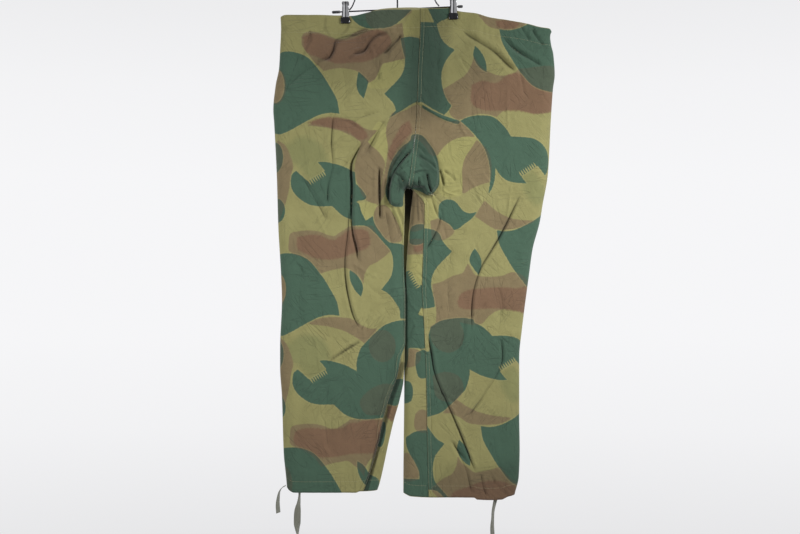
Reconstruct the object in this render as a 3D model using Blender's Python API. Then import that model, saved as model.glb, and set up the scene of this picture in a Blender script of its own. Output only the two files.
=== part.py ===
"""Drawstring overtrousers hung by two clips from a wire hanger.

Cotton overtrousers with a cased waist, felled seams and a tape through each hem.
All sizes are in millimetres: `across` from the hanger's stem towards the viewer's
right, `down` from the middle of the hanger's bar. The origin is the seat of the
hook, the front of the garment faces -Y and +Z is up.
"""

import math

import bpy
import numpy as np

MM = 0.001

# Cloth and seams
CLOTH = 1.1
TURNED = 1.0
FELL = 0.8
FELL_WIDE = 9.0
GAP = 0.3
SIDE_SEAM_BACK = 7.0
FLAT_PINCH = 3.1

# Garment
WAIST = 8.0
WAIST_CASING = 38.0
CROTCH = 393.5
GAP_RADIUS = 9.5
GAP_ACROSS = 24.0
HEM = 1060.0
HEM_CASING = 23.0
TOP_FADE = 230.0
HEM_FADE = 120.0
OUTER_ROUND = 28.0
WAIST_ROUND = 16.0
INNER_ROUND = 24.0
POUCH_HEIGHT = 13.0
POUCH_SOFT = 10.0
BAR_COVER = (-101.0, 110.0)  # the waist bows forward of the bar between these places
COVER_FADE = 62.0
COVER_DOWN = 150.0
COVER_FORWARD = 11.0
SHINS_MEET = (560.0, 860.0)  # the legs pass each other between these heights
SHINS_FADE = 90.0
SHINS_REACH = 45.0
SHINS_PART = 4.6

# Hanger
BAR_DROP = 130.0
BAR_HALF = 144.0
BAR_TILT = 0.045
BAR_RADIUS = 1.6
BOW_RADIUS = 1.3
HOOK_RADIUS = 1.8
HOOK_INSIDE = 20.0
BOW_RISE = 68.0

# Clips
CLIP_WIDE = 16.5
TIP_WIDE = 22.5
TIP_TALL = 12.8
TIP_THICK = 4.0
JAW_THICK = 1.0
SPRING_WIDE = 9.0
CLIP_FLAT = 15.0
JAW_DEEP = 3.2
LOOP_TALL = 21.0
SPRING_THICK = 0.8
SPRING_HALF_TALL = 7.0
PINCH_REACH = 50.0
PINCH_DOWN = 70.0
PINCH_BELOW = 8.0

# Tapes
TAPE_WIDE = 15.0
TAPE_THICK = 1.4

# Facets
FRONT_COLUMNS = 17
BACK_COLUMNS = 11
FLAP_COLUMNS = 4
RING_STEPS = 260
CLIP_COLUMNS_DOWN = 130.0
WRAP_PAST = 14.0


def table(columns, *rows):
    """One array for each named column."""
    return dict(zip(columns.split(), np.array(rows, float).T))


def smooth(columns, at, key="down", value="across"):
    """A curve through a table's rows that never overshoots them."""
    x, y = columns[key], columns[value]
    step = np.diff(x)
    slope = np.diff(y) / step
    both = slope[:-1] * slope[1:]
    inner = np.where(both > 0, 2 * both / np.where(both > 0, slope[:-1] + slope[1:], 1), 0)
    m = np.concatenate([[slope[0]], inner, [slope[-1]]])
    at = np.clip(np.asarray(at, float), x[0], x[-1])
    i = np.clip(np.searchsorted(x, at, side="right") - 1, 0, len(x) - 2)
    t = (at - x[i]) / step[i]
    rise = y[i] * (1 + 2 * t) * (1 - t) ** 2 + y[i + 1] * t * t * (3 - 2 * t)
    return rise + step[i] * (m[i] * t * (1 - t) ** 2 - m[i + 1] * t * t * (1 - t))


def ease(t):
    t = np.clip(t, 0, 1)
    return t * t * (3 - 2 * t)


# Outlines of the hung garment
LEFT_SIDE = table(
    "down across",
    (18, -257), (41, -256), (89, -258), (127, -260), (169, -268), (221, -273),
    (252, -271), (373, -265), (477, -262), (582, -256), (639, -254), (745, -258),
    (787, -258), (851, -254), (976, -250), (1027, -245), (1049, -243),
)  # fmt: skip
RIGHT_SIDE = table(
    "down across",
    (50, 339), (62, 336), (78, 338), (100, 343), (144, 346), (177, 342), (252, 337),
    (362, 331), (426, 320), (468, 313), (529, 297), (580, 290), (703, 274),
    (765, 268), (892, 268), (967, 269), (1027, 267), (1066, 258),
)  # fmt: skip
LEFT_INNER = table(
    "down across",
    (403, 14.5), (435, 15), (540, 13), (639, 16.5), (734, 16.5), (811, 14),
    (859, 5), (901, -7), (947, -18), (1042, -39), (1060, -45),
)  # fmt: skip
RIGHT_INNER = table(
    "down across",
    (403, 33.5), (435, 30), (540, 21), (639, 15.5), (734, 15), (811, 15),
    (1057, 13), (1071, 13),
)  # fmt: skip
FRONT_TOP = table(
    "across down",
    (-257, 18), (-245, 15), (-126, 15), (-102, 16), (-73, 12), (-36, 7), (0, 6),
    (30, 6), (72, 2), (114, -2), (133, 5), (171, 11), (204, 21), (244, 27),
    (282, 34), (317, 43), (334, 45), (339, 50),
)  # fmt: skip
BACK_TOP = table(
    "across down",
    (-257, 18), (-245, 15), (-126, 15), (-102, 16), (-73, 10), (-36, 1), (-11, -1),
    (30, -2), (72, -1), (114, -2), (133, 5), (171, 11), (204, 20), (244, 25),
    (282, 32), (317, 42), (334, 45), (339, 50),
)  # fmt: skip
LEFT_HEM = table(
    "across down",
    (-244, 1049), (-237, 1056), (-227, 1060), (-91, 1060), (-82, 1057), (-45, 1056),
)  # fmt: skip
RIGHT_HEM = table(
    "across down",
    (13, 1062), (29, 1068), (69, 1070), (168, 1071), (175, 1075), (204, 1076),
    (229, 1075), (239, 1070), (259, 1066),
)  # fmt: skip
CENTRE = table(
    "down across",
    (8, 50), (32, 50), (147, 45), (207, 43), (276, 39), (331, 32), (394, 24),
)  # fmt: skip
LEFT_FLAP = table(
    "down wide",
    (393, 0), (734, 0), (765, 9), (804, 15), (829, 22), (866, 26), (903, 25),
    (954, 23), (1060, 30),
)  # fmt: skip
RIGHT_FLAP = table(
    "down wide",
    (393, 0), (397, 2), (433, 29), (637, 39), (692, 43), (787, 47), (967, 52),
    (1071, 56),
)  # fmt: skip

# Half the depth of the garment, in front of and behind its middle plane
DEPTH = table(
    "down front back",
    (0, 9, 8), (46, 12, 12), (110, 16, 17), (221, 19, 21), (310, 20, 22),
    (393, 20, 21), (480, 18, 18), (640, 17, 16), (815, 16, 15), (970, 14, 13),
    (1076, 12, 11),
)  # fmt: skip

# Heights at which the panels' rows lie, closer at the casings and the crotch
ROWS = [WAIST, 20, 33, WAIST + WAIST_CASING, 62, 80, 98, 118, 140, 166, 194, 216, 240, 268]
ROWS += [296, 322, 346, 364, 377, 386, 391, CROTCH, 397, 403, 412, 424, 438, 456, 484, 520]
ROWS += [560, 602, 646, 690, 734, 770, 806, 842, 880, 920, 962, 1003, HEM - HEM_CASING]
ROWS += [HEM - HEM_CASING / 2, HEM]
WAIST_ROWS = 4
HEM_ROWS = 3
FAN_FROM, FAN_TO = ROWS.index(346), ROWS.index(484)  # these rows spread out towards the sides
FAN_NEAR, FAN_WIDE = 30.0, 110.0

# Largest folds: name, width, height, step towards the viewer's right side, points.
# A point is (across, down); a negative height is a trough.
FRONT_FOLDS = [
    ("left hip hook", 9, -6, -3, [(-171, 116), (-146, 104), (-133, 67), (-78, 56)]),
    ("left hip twist", 9, -6, 0, [(-74, 95), (-52, 66), (-28, 57)]),
    ("left of fly", 9, -5, 0, [(-30, 101), (-13, 85), (1, 70)]),
    ("fly lip", 8, 4, 4, [(-19, 240), (23, 218), (43, 207), (60, 218), (100, 243), (137, 251)]),
    ("left thigh outer", 10, -6, 0, [(-139, 226), (-144, 294), (-142, 351), (-153, 435)]),
    ("left thigh main", 11, -11, 4, [(-73, 287), (-98, 336), (-100, 446), (-98, 488), (-87, 558)]),
    ("left knee", 11, -7, 0, [(-106, 435), (-114, 540), (-114, 582), (-91, 686), (-76, 708)]),
    ("left groin", 9, -10, 0, [(-40, 351), (-39, 404), (-38, 461)]),
    ("left groin fan", 10, -4, 0, [(-69, 320), (-54, 292), (-29, 248)]),
    ("left shin overlap", 5, -2, -8, [(14, 740), (-1, 804), (-22, 866), (-43, 954), (-74, 1053)]),
    ("right hip long", 10, -6, 3, [(143, 49), (182, 76), (213, 97), (261, 140)]),
    ("right hip short", 9, -5, 0, [(234, 67), (286, 109), (316, 127)]),
    ("right thigh", 10, -6, 0, [(274, 397), (240, 468), (186, 562), (169, 609), (161, 703)]),
    ("right shin long", 12, -9, 3, [(66, 714), (80, 791), (111, 868), (143, 943), (172, 1020)]),
    ("right knee side", 10, -5, 0, [(225, 719), (227, 776), (197, 835), (150, 900)]),
    ("right hem", 9, -5, 0, [(119, 945), (149, 1007), (163, 1064)]),
]
BACK_FOLDS = [
    ("left seat", 12, -7, 0, [(-150, 70), (-110, 130), (-70, 210), (-30, 300)]),
    ("right seat", 12, -7, 0, [(190, 80), (160, 150), (120, 240), (80, 320)]),
    ("left back thigh", 12, -8, 3, [(-120, 400), (-112, 500), (-130, 600), (-120, 700)]),
    ("right back thigh", 12, -8, -3, [(150, 390), (160, 480), (140, 600), (120, 690)]),
    ("left back shin", 11, -6, 0, [(-150, 760), (-120, 850), (-130, 960)]),
    ("right back shin", 11, -6, 0, [(150, 740), (170, 840), (140, 960)]),
    ("left side back", 10, -5, 0, [(-225, 200), (-200, 300), (-205, 420)]),
    ("right side back", 10, -5, 0, [(290, 180), (270, 290), (265, 400)]),
]

# Outline of the bunched cloth that hangs forward at the crotch
POUCH = table(
    "across down",
    (37, 276), (15, 305), (-12, 353), (-21, 397), (-21, 426), (-10, 436), (8, 436),
    (16, 424), (20, 398), (28, 394), (54, 396), (63, 411), (74, 411), (89, 391),
    (92, 364), (87, 338), (72, 305), (50, 281),
)  # fmt: skip

CLIPS = {"left": (-114, 19), "right": (123, 10)}  # across, top of the tips

# Tapes: across, back, down and turn in degrees, with 0 flat to the front
LEFT_LONG_TAPE = table(
    "across back down turn",
    (-215, -0.5, 1048, 70), (-215, -0.5, 1062, 78), (-216, -1, 1079, 62), (-219, -2, 1097, 25),
    (-220, -3, 1120, 5), (-220, -3, 1137, 55), (-219, -3, 1154, 85), (-218, -2.5, 1176, 50),
    (-219, -2, 1198, 15), (-221, -1, 1216, 5),
)  # fmt: skip
LEFT_SHORT_TAPE = table(
    "across back down turn",
    (-245.6, -1, 1047, 80), (-252, -1.5, 1050.5, 75), (-258, -2, 1058, 62),
    (-261, -2, 1067, 55), (-262.5, -2, 1077, 55), (-262.7, -2, 1090, 58), (-262, -2, 1107, 62),
)  # fmt: skip
RIGHT_TAPE = table(
    "across back down turn",
    (217, -2, 1061, 50), (216, -2, 1076, 52), (213, -2.5, 1090, 58), (210, -3, 1104, 62),
    (209, -3, 1120, 55), (208.5, -3, 1134, 50), (209, -2.5, 1154, 55), (210, -2, 1178, 30),
    (209, -1, 1200, 15), (208, 0, 1220, 5),
)  # fmt: skip


def along(points, across, down):
    """Nearest distance to a drawn line and the signed distance to its right."""
    points = np.array(points, float)
    near = np.full(across.shape, 1e9)
    side = np.zeros(across.shape)
    for (ax, ad), (bx, bd) in zip(points[:-1], points[1:]):
        dx, dd = bx - ax, bd - ad
        long = math.hypot(dx, dd)
        t = np.clip(((across - ax) * dx + (down - ad) * dd) / long**2, 0, 1)
        far = np.hypot(across - ax - t * dx, down - ad - t * dd)
        sign = np.sign(dd * (across - ax) - dx * (down - ad))
        side = np.where(far < near, sign * far, side)
        near = np.minimum(near, far)
    return near, side


def folds(rows, across, down):
    """Height of the folds above the smooth wall, outwards."""
    height = np.zeros(np.broadcast(across, down).shape)
    for _, wide, rise, step, points in rows:
        near, side = along(points, across, down)
        height += rise * np.exp(-((near / wide) ** 2))
        height += step / 2 * np.tanh(side / wide) * np.exp(-((near / (4 * wide)) ** 2))
    return height


def pouch(across, down):
    """Height of the bunched crotch cloth, steep round its lower edge."""
    x, d = POUCH["across"], POUCH["down"]
    inside = np.zeros(across.shape, bool)
    for ax, ad, bx, bd in zip(x, d, np.roll(x, -1), np.roll(d, -1)):
        if ad != bd:
            crosses = (ad > down) != (bd > down)
            inside ^= crosses & (across < (bx - ax) * (down - ad) / (bd - ad) + ax)
    closed = list(zip(np.append(x, x[0]), np.append(d, d[0])))
    near, _ = along(closed, across, down)
    swell = ease((down - d.min()) / (0.7 * (CROTCH - d.min())))
    return POUCH_HEIGHT * swell * np.where(inside, ease(near / POUCH_SOFT), 0)


def side_edges(down):
    return smooth(LEFT_SIDE, down), smooth(RIGHT_SIDE, down)


def inner_edge(leg, down):
    """The leg's edge between the legs, with a round top at the crotch."""
    edges = LEFT_INNER if leg == "left" else RIGHT_INNER
    sign = -1 if leg == "left" else 1
    drop = np.clip(LEFT_INNER["down"][0] - down, 0, GAP_RADIUS)
    arch = GAP_ACROSS + sign * np.sqrt(GAP_RADIUS**2 - drop**2)
    return np.where(down < LEFT_INNER["down"][0], arch, smooth(edges, down))


def quarter(t):
    """An ellipse's quarter: 0 at the fold, 1 on the flat."""
    return np.sqrt(1 - (1 - np.clip(t, 0, 1)) ** 2)


def clipped(across, down):
    """0 between a clip's tips and 1 away from them."""
    free = np.ones(across.shape)
    for x, tips in CLIPS.values():
        beside = np.clip(np.abs(across - x) - CLIP_FLAT, 0, None) / PINCH_REACH
        below = np.clip(down - tips - TIP_TALL - PINCH_BELOW, 0, None) / PINCH_DOWN
        free *= ease(np.hypot(beside, below))
    return free


def middle(leg, across, down):
    """The plane midway between front and back, bowed before the bar at the waist
    and parted where the shins pass each other."""
    if leg == "trunk":
        cover = ease((across - BAR_COVER[0]) / COVER_FADE) * ease((BAR_COVER[1] - across) / COVER_FADE)
        return -COVER_FORWARD * cover * ease((COVER_DOWN - down) / COVER_DOWN)
    sign = -1 if leg == "left" else 1
    meet = ease((down - SHINS_MEET[0]) / SHINS_FADE) * ease((SHINS_MEET[1] - down) / SHINS_FADE)
    reach = np.abs(across - inner_edge(leg, down)) / SHINS_REACH
    return sign * SHINS_PART * meet * (1 - ease(reach))


def wall(face, leg, across, down):
    """How far back the front or back wall lies at points of the hung garment."""
    left, right = side_edges(down)
    rounding = WAIST_ROUND + (OUTER_ROUND - WAIST_ROUND) * ease(down / 200)
    full = quarter((across - left) / rounding) * quarter((right - across) / rounding)
    crotch_line = LEFT_INNER["down"][0]
    above = np.hypot(across - GAP_ACROSS, crotch_line - down) - GAP_RADIUS
    if leg == "trunk":
        full = full * quarter(above / INNER_ROUND)
    else:
        level = np.abs(across - inner_edge(leg, down))
        full = full * quarter(np.where(down < crotch_line, above, level) / INNER_ROUND)
    depth = smooth(DEPTH, down, value=face)
    relief = folds(FRONT_FOLDS if face == "front" else BACK_FOLDS, across, down)
    if face == "front":
        relief = relief + pouch(across, down)
    free = clipped(across, down)
    out = full * (FLAT_PINCH + (depth + relief - FLAT_PINCH) * free)
    sign = -1 if face == "front" else 1
    return middle(leg, across, down) + sign * out


def fanned(across, row):
    """The rows that crowd at the crotch lie evenly spaced away from it."""
    order = np.interp(row, ROWS, np.arange(len(ROWS)))
    even = np.interp(order, [FAN_FROM, FAN_TO], [ROWS[FAN_FROM], ROWS[FAN_TO]])
    spread = ease((np.abs(across - GAP_ACROSS) - FAN_NEAR) / FAN_WIDE)
    return row + (even - row) * spread * (FAN_FROM < order < FAN_TO)


def lowered(face, leg, across, row):
    """The height of a row at each point: it follows the waist's and the hem's edges."""
    top = FRONT_TOP if face == "front" else BACK_TOP
    waist = ease((TOP_FADE - row) / (TOP_FADE - WAIST))
    down = fanned(across, row) + waist * (smooth(top, across, "across", "down") - WAIST)
    if leg == "trunk":
        return down
    hem = LEFT_HEM if leg == "left" else RIGHT_HEM
    sag = ease((row - HEM + HEM_FADE) / HEM_FADE)
    return down + sag * (smooth(hem, across, "across", "down") - HEM)


def edge_pair(leg, row):
    """Where a row starts and ends, from the viewer's left to right."""
    waist = ease((TOP_FADE - row) / (TOP_FADE - WAIST))
    hem = ease((row - HEM + HEM_FADE) / HEM_FADE)
    far = fanned(LEFT_SIDE["across"][0], row)
    left_down = far + waist * (FRONT_TOP["down"][0] - WAIST) + hem * (LEFT_HEM["down"][0] - HEM)
    right_down = far + waist * (FRONT_TOP["down"][-1] - WAIST)
    left = side_edges(left_down)[0]
    right = side_edges(right_down + hem * (RIGHT_HEM["down"][-1] - HEM))[1]
    if leg == "left":
        right = inner_edge("left", row + hem * (LEFT_HEM["down"][-1] - HEM))
    if leg == "right":
        left = inner_edge("right", row + hem * (RIGHT_HEM["down"][0] - HEM))
    return float(left), float(right)


def ring(leg, row):
    """One closed section: points, lengths along it, and the place of each seam."""
    left, right = edge_pair(leg, row)
    share = (1 - np.cos(np.linspace(0, math.pi, RING_STEPS))) / 2
    across = left + (right - left) * share
    if leg == "trunk":
        centre = float(smooth(CENTRE, row))
        across = np.concatenate(
            [left + (centre - left) * share, centre + (right - centre) * share[1:]]
        )
    faces = {}
    for face in ("front", "back"):
        down = lowered(face, leg, across, row)
        back = wall(face, leg, across, down)
        back[0] = back[-1] = 0
        if leg == "left":
            back[-1] = middle(leg, across, down)[-1]
        if leg == "right":
            back[0] = middle(leg, across, down)[0]
        faces[face] = np.stack([across, back, down], axis=1)
    points = np.concatenate([faces["front"], faces["back"][::-1][1:]])
    length = np.concatenate([[0], np.cumsum(np.linalg.norm(np.diff(points, axis=0), axis=1))])
    turn = len(across) - 1
    seams = {"left side": length[-1] - SIDE_SEAM_BACK, "right side": length[turn] + SIDE_SEAM_BACK}
    if leg == "trunk":
        middle_at = RING_STEPS - 1
        seams["front"] = length[middle_at]
        seams["back"] = length[-1 - middle_at]
    if leg == "left":
        flap = float(smooth(LEFT_FLAP, row, value="wide"))
        seams["front"] = seams["back"] = np.interp(right - flap, across, length[: turn + 1])
        seams["fold"] = length[turn]
    if leg == "right":
        flap = float(smooth(RIGHT_FLAP, row, value="wide"))
        seams["front"] = np.interp(left + flap, across, length[: turn + 1])
        seams["back"] = seams["front"] + length[-1]
        seams["fold"] = length[-1]
    return points, length, seams


def at_length(section, where):
    """Points of a closed section at lengths along it, wrapped round its start."""
    points, length, _ = section
    where = np.mod(where, length[-1])
    return np.stack([np.interp(where, length, points[:, k]) for k in range(3)], axis=-1)


def beside_clip(where, name, section, row):
    """Move two columns of a panel to the two sides of its clip, near the waist."""
    points, length, seams = section
    x = CLIPS[name.split("_")[1]][0]
    near = 1 - ease((row - WAIST - WAIST_CASING) / CLIP_COLUMNS_DOWN)
    if near == 0 or "fold" in seams:
        return where
    turn = int(np.argmin(np.abs(length - (seams["right side"] - SIDE_SEAM_BACK))))
    face = slice(0, turn + 1) if name.startswith("front") else slice(turn, None)
    across, run = points[face, 0], length[face]
    if across[0] > across[-1]:
        across, run = across[::-1], run[::-1]
    sides = np.sort(np.interp([x - CLIP_FLAT, x + CLIP_FLAT], across, run))
    i = int(np.argmin(np.abs(where[:-1] + where[1:] - sides.sum())))
    moved = np.interp(where, [where[0], where[i], where[i + 1], where[-1]],
                      [where[0], sides[0], sides[1], where[-1]])  # fmt: skip
    return where + near * (moved - where)


def panel_lengths(name, seams):
    """Where a panel's columns cross a section, from its first seam to its last."""
    half = GAP / 2
    if name == "front_left":
        start, end = seams["left side"] - seams["round"], seams["front"]
    elif name == "front_right":
        start, end = seams["front"], seams["right side"]
    elif name == "back_left":
        start, end = seams["back"], seams["left side"]
    else:
        start, end = seams["right side"], seams["back"]
    start, end = start + half, end - half
    if name.startswith("front"):
        u = np.linspace(0, 1, FRONT_COLUMNS - 1)
        inner = u - 0.5 * np.sin(2 * math.pi * u) / (2 * math.pi)
        middle_part = start + FELL_WIDE + (end - start - 2 * FELL_WIDE) * inner
        return np.concatenate([[start], middle_part, [end]])
    fold = seams.get("fold", seams["back"])
    wrap = abs(fold - seams["back"]) + WRAP_PAST
    u = np.linspace(0, 1, BACK_COLUMNS)
    flap = np.linspace(FELL_WIDE / 2, wrap, FLAP_COLUMNS)
    rest = (end - start - wrap - FELL_WIDE) * (u - 0.3 * np.sin(2 * math.pi * u) / (2 * math.pi))
    inward = np.concatenate([[0], flap, wrap + rest[1:], [end - start]])
    return start + inward if name == "back_left" else end - inward[::-1]


def unit(vectors):
    return vectors / np.linalg.norm(vectors, axis=-1, keepdims=True)


def panel(name):
    """A panel's outer points and outward directions, rows from waist to hem."""
    side = name.split("_")[1]
    points, tangents = [], []
    for row in ROWS:
        section = ring("trunk" if row <= CROTCH else side, row)
        seams = dict(section[2], round=section[1][-1])
        where = beside_clip(panel_lengths(name, seams), name, section, row)
        points.append(at_length(section, where))
        tangents.append(at_length(section, where + 1.5) - at_length(section, where - 1.5))
    points, tangents = np.array(points), np.array(tangents)
    down_rows = np.gradient(points, axis=0)
    world = points * (1, 1, -1)
    normal = np.cross(tangents * (1, 1, -1), down_rows * (1, 1, -1))
    world[..., 2] -= BAR_DROP
    out = -unit(normal)
    seam = -1 if name in ("front_left", "back_right") else 0
    out[ROWS.index(CROTCH), seam] = (0, 0, -1)  # the four panels meet under the crotch
    return world, out


def turned_in(parts, rows, overlap=slice(None)):
    """The outside and inside of a casing turned in along neighbouring panels' edges."""
    outer, out = (
        np.concatenate([p[k][rows, :-1] for p in parts[:-1]] + [parts[-1][k][rows, overlap]], axis=1)
        for k in (0, 1)
    )
    inside = CLOTH + 2 * GAP
    return outer - out * inside, outer - out * (inside + TURNED)


def closed_wall(near, far, round_it=False):
    """Vertices and faces of a wall between two grids, near the outside and far the inside."""
    rows, columns = near.shape[:2]
    count = rows * columns
    vertices = np.concatenate([near.reshape(-1, 3), far.reshape(-1, 3)]) * MM
    at = lambda i, j: i * columns + j % columns
    spans = columns if round_it else columns - 1
    faces = []
    for i in range(rows - 1):
        for j in range(spans):
            a, b, c, d = at(i, j), at(i + 1, j), at(i + 1, j + 1), at(i, j + 1)
            faces += [(a, b, c), (a, c, d)]
            faces += [(count + a, count + c, count + b), (count + a, count + d, count + c)]
    for j in range(spans):
        a, d = at(0, j), at(0, j + 1)
        faces += [(a, d, count + d), (a, count + d, count + a)]
        a, d = at(rows - 1, j), at(rows - 1, j + 1)
        faces += [(a, count + a, count + d), (a, count + d, d)]
    if not round_it:
        for i in range(rows - 1):
            a, b = at(i, 0), at(i + 1, 0)
            faces += [(a, count + a, count + b), (a, count + b, b)]
            a, b = at(i, columns - 1), at(i + 1, columns - 1)
            faces += [(a, b, count + b), (a, count + b, count + a)]
    return vertices, faces


def finish(name, colour, roughness, metallic=0.0):
    material = bpy.data.materials.new(name)
    material.use_nodes = True
    shader = material.node_tree.nodes["Principled BSDF"]
    shader.inputs["Base Color"].default_value = (*colour, 1)
    shader.inputs["Roughness"].default_value = roughness
    shader.inputs["Metallic"].default_value = metallic
    return material


def add_mesh(name, vertices, faces, material):
    mesh = bpy.data.meshes.new(name)
    mesh.from_pydata([tuple(v) for v in vertices], [], faces)
    mesh.materials.append(material)
    mesh.shade_smooth()
    mesh.set_sharp_from_angle(angle=math.radians(40))
    piece = bpy.data.objects.new(name, mesh)
    bpy.context.scene.collection.objects.link(piece)
    return piece


def add_wire(name, points, radius, material):
    """A round wire along world points in millimetres."""
    curve = bpy.data.curves.new(name, "CURVE")
    curve.dimensions = "3D"
    curve.bevel_depth = radius * MM
    curve.bevel_resolution = 2
    curve.use_fill_caps = True
    spline = curve.splines.new("POLY")
    spline.points.add(len(points) - 1)
    for knot, point in zip(spline.points, points):
        knot.co = (point[0] * MM, point[1] * MM, point[2] * MM, 1)
    curve.materials.append(material)
    piece = bpy.data.objects.new(name, curve)
    bpy.context.scene.collection.objects.link(piece)
    return piece


def curve_through(points, steps):
    """A smooth curve through points, evenly spaced."""
    points = np.array(points, float)
    knots = np.concatenate([[0], np.cumsum(np.linalg.norm(np.diff(points, axis=0), axis=1))])
    slopes = np.gradient(points, knots, axis=0)
    at = np.linspace(0, knots[-1], steps)
    i = np.clip(np.searchsorted(knots, at, side="right") - 1, 0, len(knots) - 2)
    step = (knots[i + 1] - knots[i])[:, None]
    t = ((at - knots[i]) / step[:, 0])[:, None]
    rise = points[i] * (1 + 2 * t) * (1 - t) ** 2 + points[i + 1] * t * t * (3 - 2 * t)
    return rise + step * (slopes[i] * t * (1 - t) ** 2 - slopes[i + 1] * t * t * (1 - t))


def add_tape(name, route, steps, material):
    """A flat woven tape that twists as it hangs."""
    knots = np.stack([route["across"], route["back"], -BAR_DROP - route["down"]], axis=1)
    line = curve_through(knots, steps)
    share = np.linspace(0, len(knots) - 1, steps)
    turn = np.radians(np.interp(share, np.arange(len(knots)), route["turn"]))
    ahead = unit(np.gradient(line, axis=0))
    flat = np.stack([np.cos(turn), np.sin(turn), np.zeros(steps)], axis=1)
    flat = unit(flat - ahead * (flat * ahead).sum(axis=1, keepdims=True))
    thick = np.cross(ahead, flat)
    corners = [(-1, -1), (0, -1), (1, -1), (1, 1), (0, 1), (-1, 1)]
    rings = [line + flat * a * TAPE_WIDE / 2 + thick * b * TAPE_THICK / 2 for a, b in corners]
    sides = len(corners)
    vertices = np.stack(rings, axis=1).reshape(-1, 3) * MM
    faces = [tuple(range(sides))[::-1]]
    for i in range(steps - 1):
        for j in range(sides):
            a, b = i * sides + j, i * sides + (j + 1) % sides
            faces += [(a, b, b + sides), (a, b + sides, a + sides)]
    faces.append(tuple(range((steps - 1) * sides, steps * sides)))
    return add_mesh(name, vertices, faces, material)


def add_profile(name, outline, x, wide, material):
    """A strip's outline in (back, down), extruded across."""
    vertices = []
    for across in (x - wide / 2, x + wide / 2):
        vertices += [(across * MM, b * MM, -(BAR_DROP + d) * MM) for b, d in outline]
    n = len(outline)
    faces = [tuple(range(n)), tuple(range(n, 2 * n))[::-1]]
    faces += [(j, j + n, (j + 1) % n + n, (j + 1) % n) for j in range(n)]
    return add_mesh(name, vertices, faces, material)


def bar_down(across):
    return -BAR_TILT * across


for old in list(bpy.data.objects):
    bpy.data.objects.remove(old, do_unlink=True)

camouflage = finish("camouflage_cotton", (0.17, 0.16, 0.08), 0.9)
casing_cloth = finish("casing_cotton", (0.15, 0.15, 0.08), 0.9)
tape_cotton = finish("tape_cotton", (0.14, 0.15, 0.11), 0.9)
chrome = finish("chromed_wire", (0.6, 0.6, 0.61), 0.22, 1.0)
rubber = finish("black_rubber", (0.02, 0.02, 0.022), 0.5)

# Four panels, each from the waist's edge to the hem's
grids = {name: panel(name) for name in ("front_left", "front_right", "back_left", "back_right")}
for name, (outer, out) in grids.items():
    add_mesh(f"panel_{name}", *closed_wall(outer, outer - out * CLOTH), camouflage)

# Waist casings: the turned-in top of each face, right across both panels
for face, order in (("front", ("left", "right")), ("back", ("right", "left"))):
    walls = turned_in([grids[f"{face}_{side}"] for side in order], slice(WAIST_ROWS))
    add_mesh(f"waist_casing_{face}", *closed_wall(*walls), casing_cloth)

# Hem casings: a turned-in ring in each leg
for side in ("left", "right"):
    parts = [grids[f"{face}_{side}"] for face in ("front", "back")]
    walls = turned_in(parts, slice(-HEM_ROWS, None), slice(-1))
    add_mesh(f"hem_casing_{side}", *closed_wall(*walls, round_it=True), casing_cloth)

# Felled seams: the strip of cloth stitched down beside each seam
crotch_row = ROWS.index(CROTCH)
trunk, legs, whole = slice(0, crotch_row + 1), slice(crotch_row + 2, None), slice(0, None)
FELLS = {
    "fell_front": ("front_right", (0, 1), trunk),
    "fell_back": ("back_left", (0, 1), trunk),
    "fell_inseam_right": ("front_right", (0, 1), legs),
    "fell_inseam_left": ("front_left", (-2, -1), legs),
    "fell_side_left": ("back_left", (-2, -1), whole),
    "fell_side_right": ("back_right", (0, 1), whole),
}
for name, (source, columns, rows) in FELLS.items():
    outer, out = (grid[rows][:, list(columns)] for grid in grids[source])
    add_mesh(name, *closed_wall(outer + out * (GAP + FELL), outer + out * GAP), camouflage)

add_tape("tape_left_long", LEFT_LONG_TAPE, 22, tape_cotton)
add_tape("tape_left_short", LEFT_SHORT_TAPE, 12, tape_cotton)
add_tape("tape_right", RIGHT_TAPE, 22, tape_cotton)

# Hanger: bar, bow in two halves, hook on its stem
bar_ends = [(x, 0, -BAR_DROP - bar_down(x)) for x in (-BAR_HALF, BAR_HALF)]
add_wire("hanger_bar", bar_ends, BAR_RADIUS, chrome)
clear = BAR_RADIUS + BOW_RADIUS / 2 + GAP
for side, sign, foot in (("left", -1, 106), ("right", 1, 92)):
    shape = [(foot, clear), (foot - 6, 10), (foot - 11, 21), (foot - 19, 41), (foot - 42, 59)]
    shape += [(0.34 * foot, BOW_RISE - 0.8), (HOOK_RADIUS + 3 * GAP, BOW_RISE)]
    arch = [(sign * x, 0, -BAR_DROP - bar_down(sign * x) + rise) for x, rise in shape]
    add_wire(f"hanger_bow_{side}", curve_through(arch, 22), BOW_RADIUS, chrome)
hook_line = HOOK_INSIDE + HOOK_RADIUS
turn = np.radians(np.linspace(-52, 205, 26))
loop = [(hook_line * math.cos(a), 0, -HOOK_INSIDE + hook_line * math.sin(a)) for a in turn]
stem = [(0, 0, -BAR_DROP + BAR_RADIUS + GAP), (0, 0, -90), (0, 0, -58), (3, 0, -47)]
add_wire("hanger_hook", curve_through(stem + loop, 38), HOOK_RADIUS, chrome)

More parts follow.
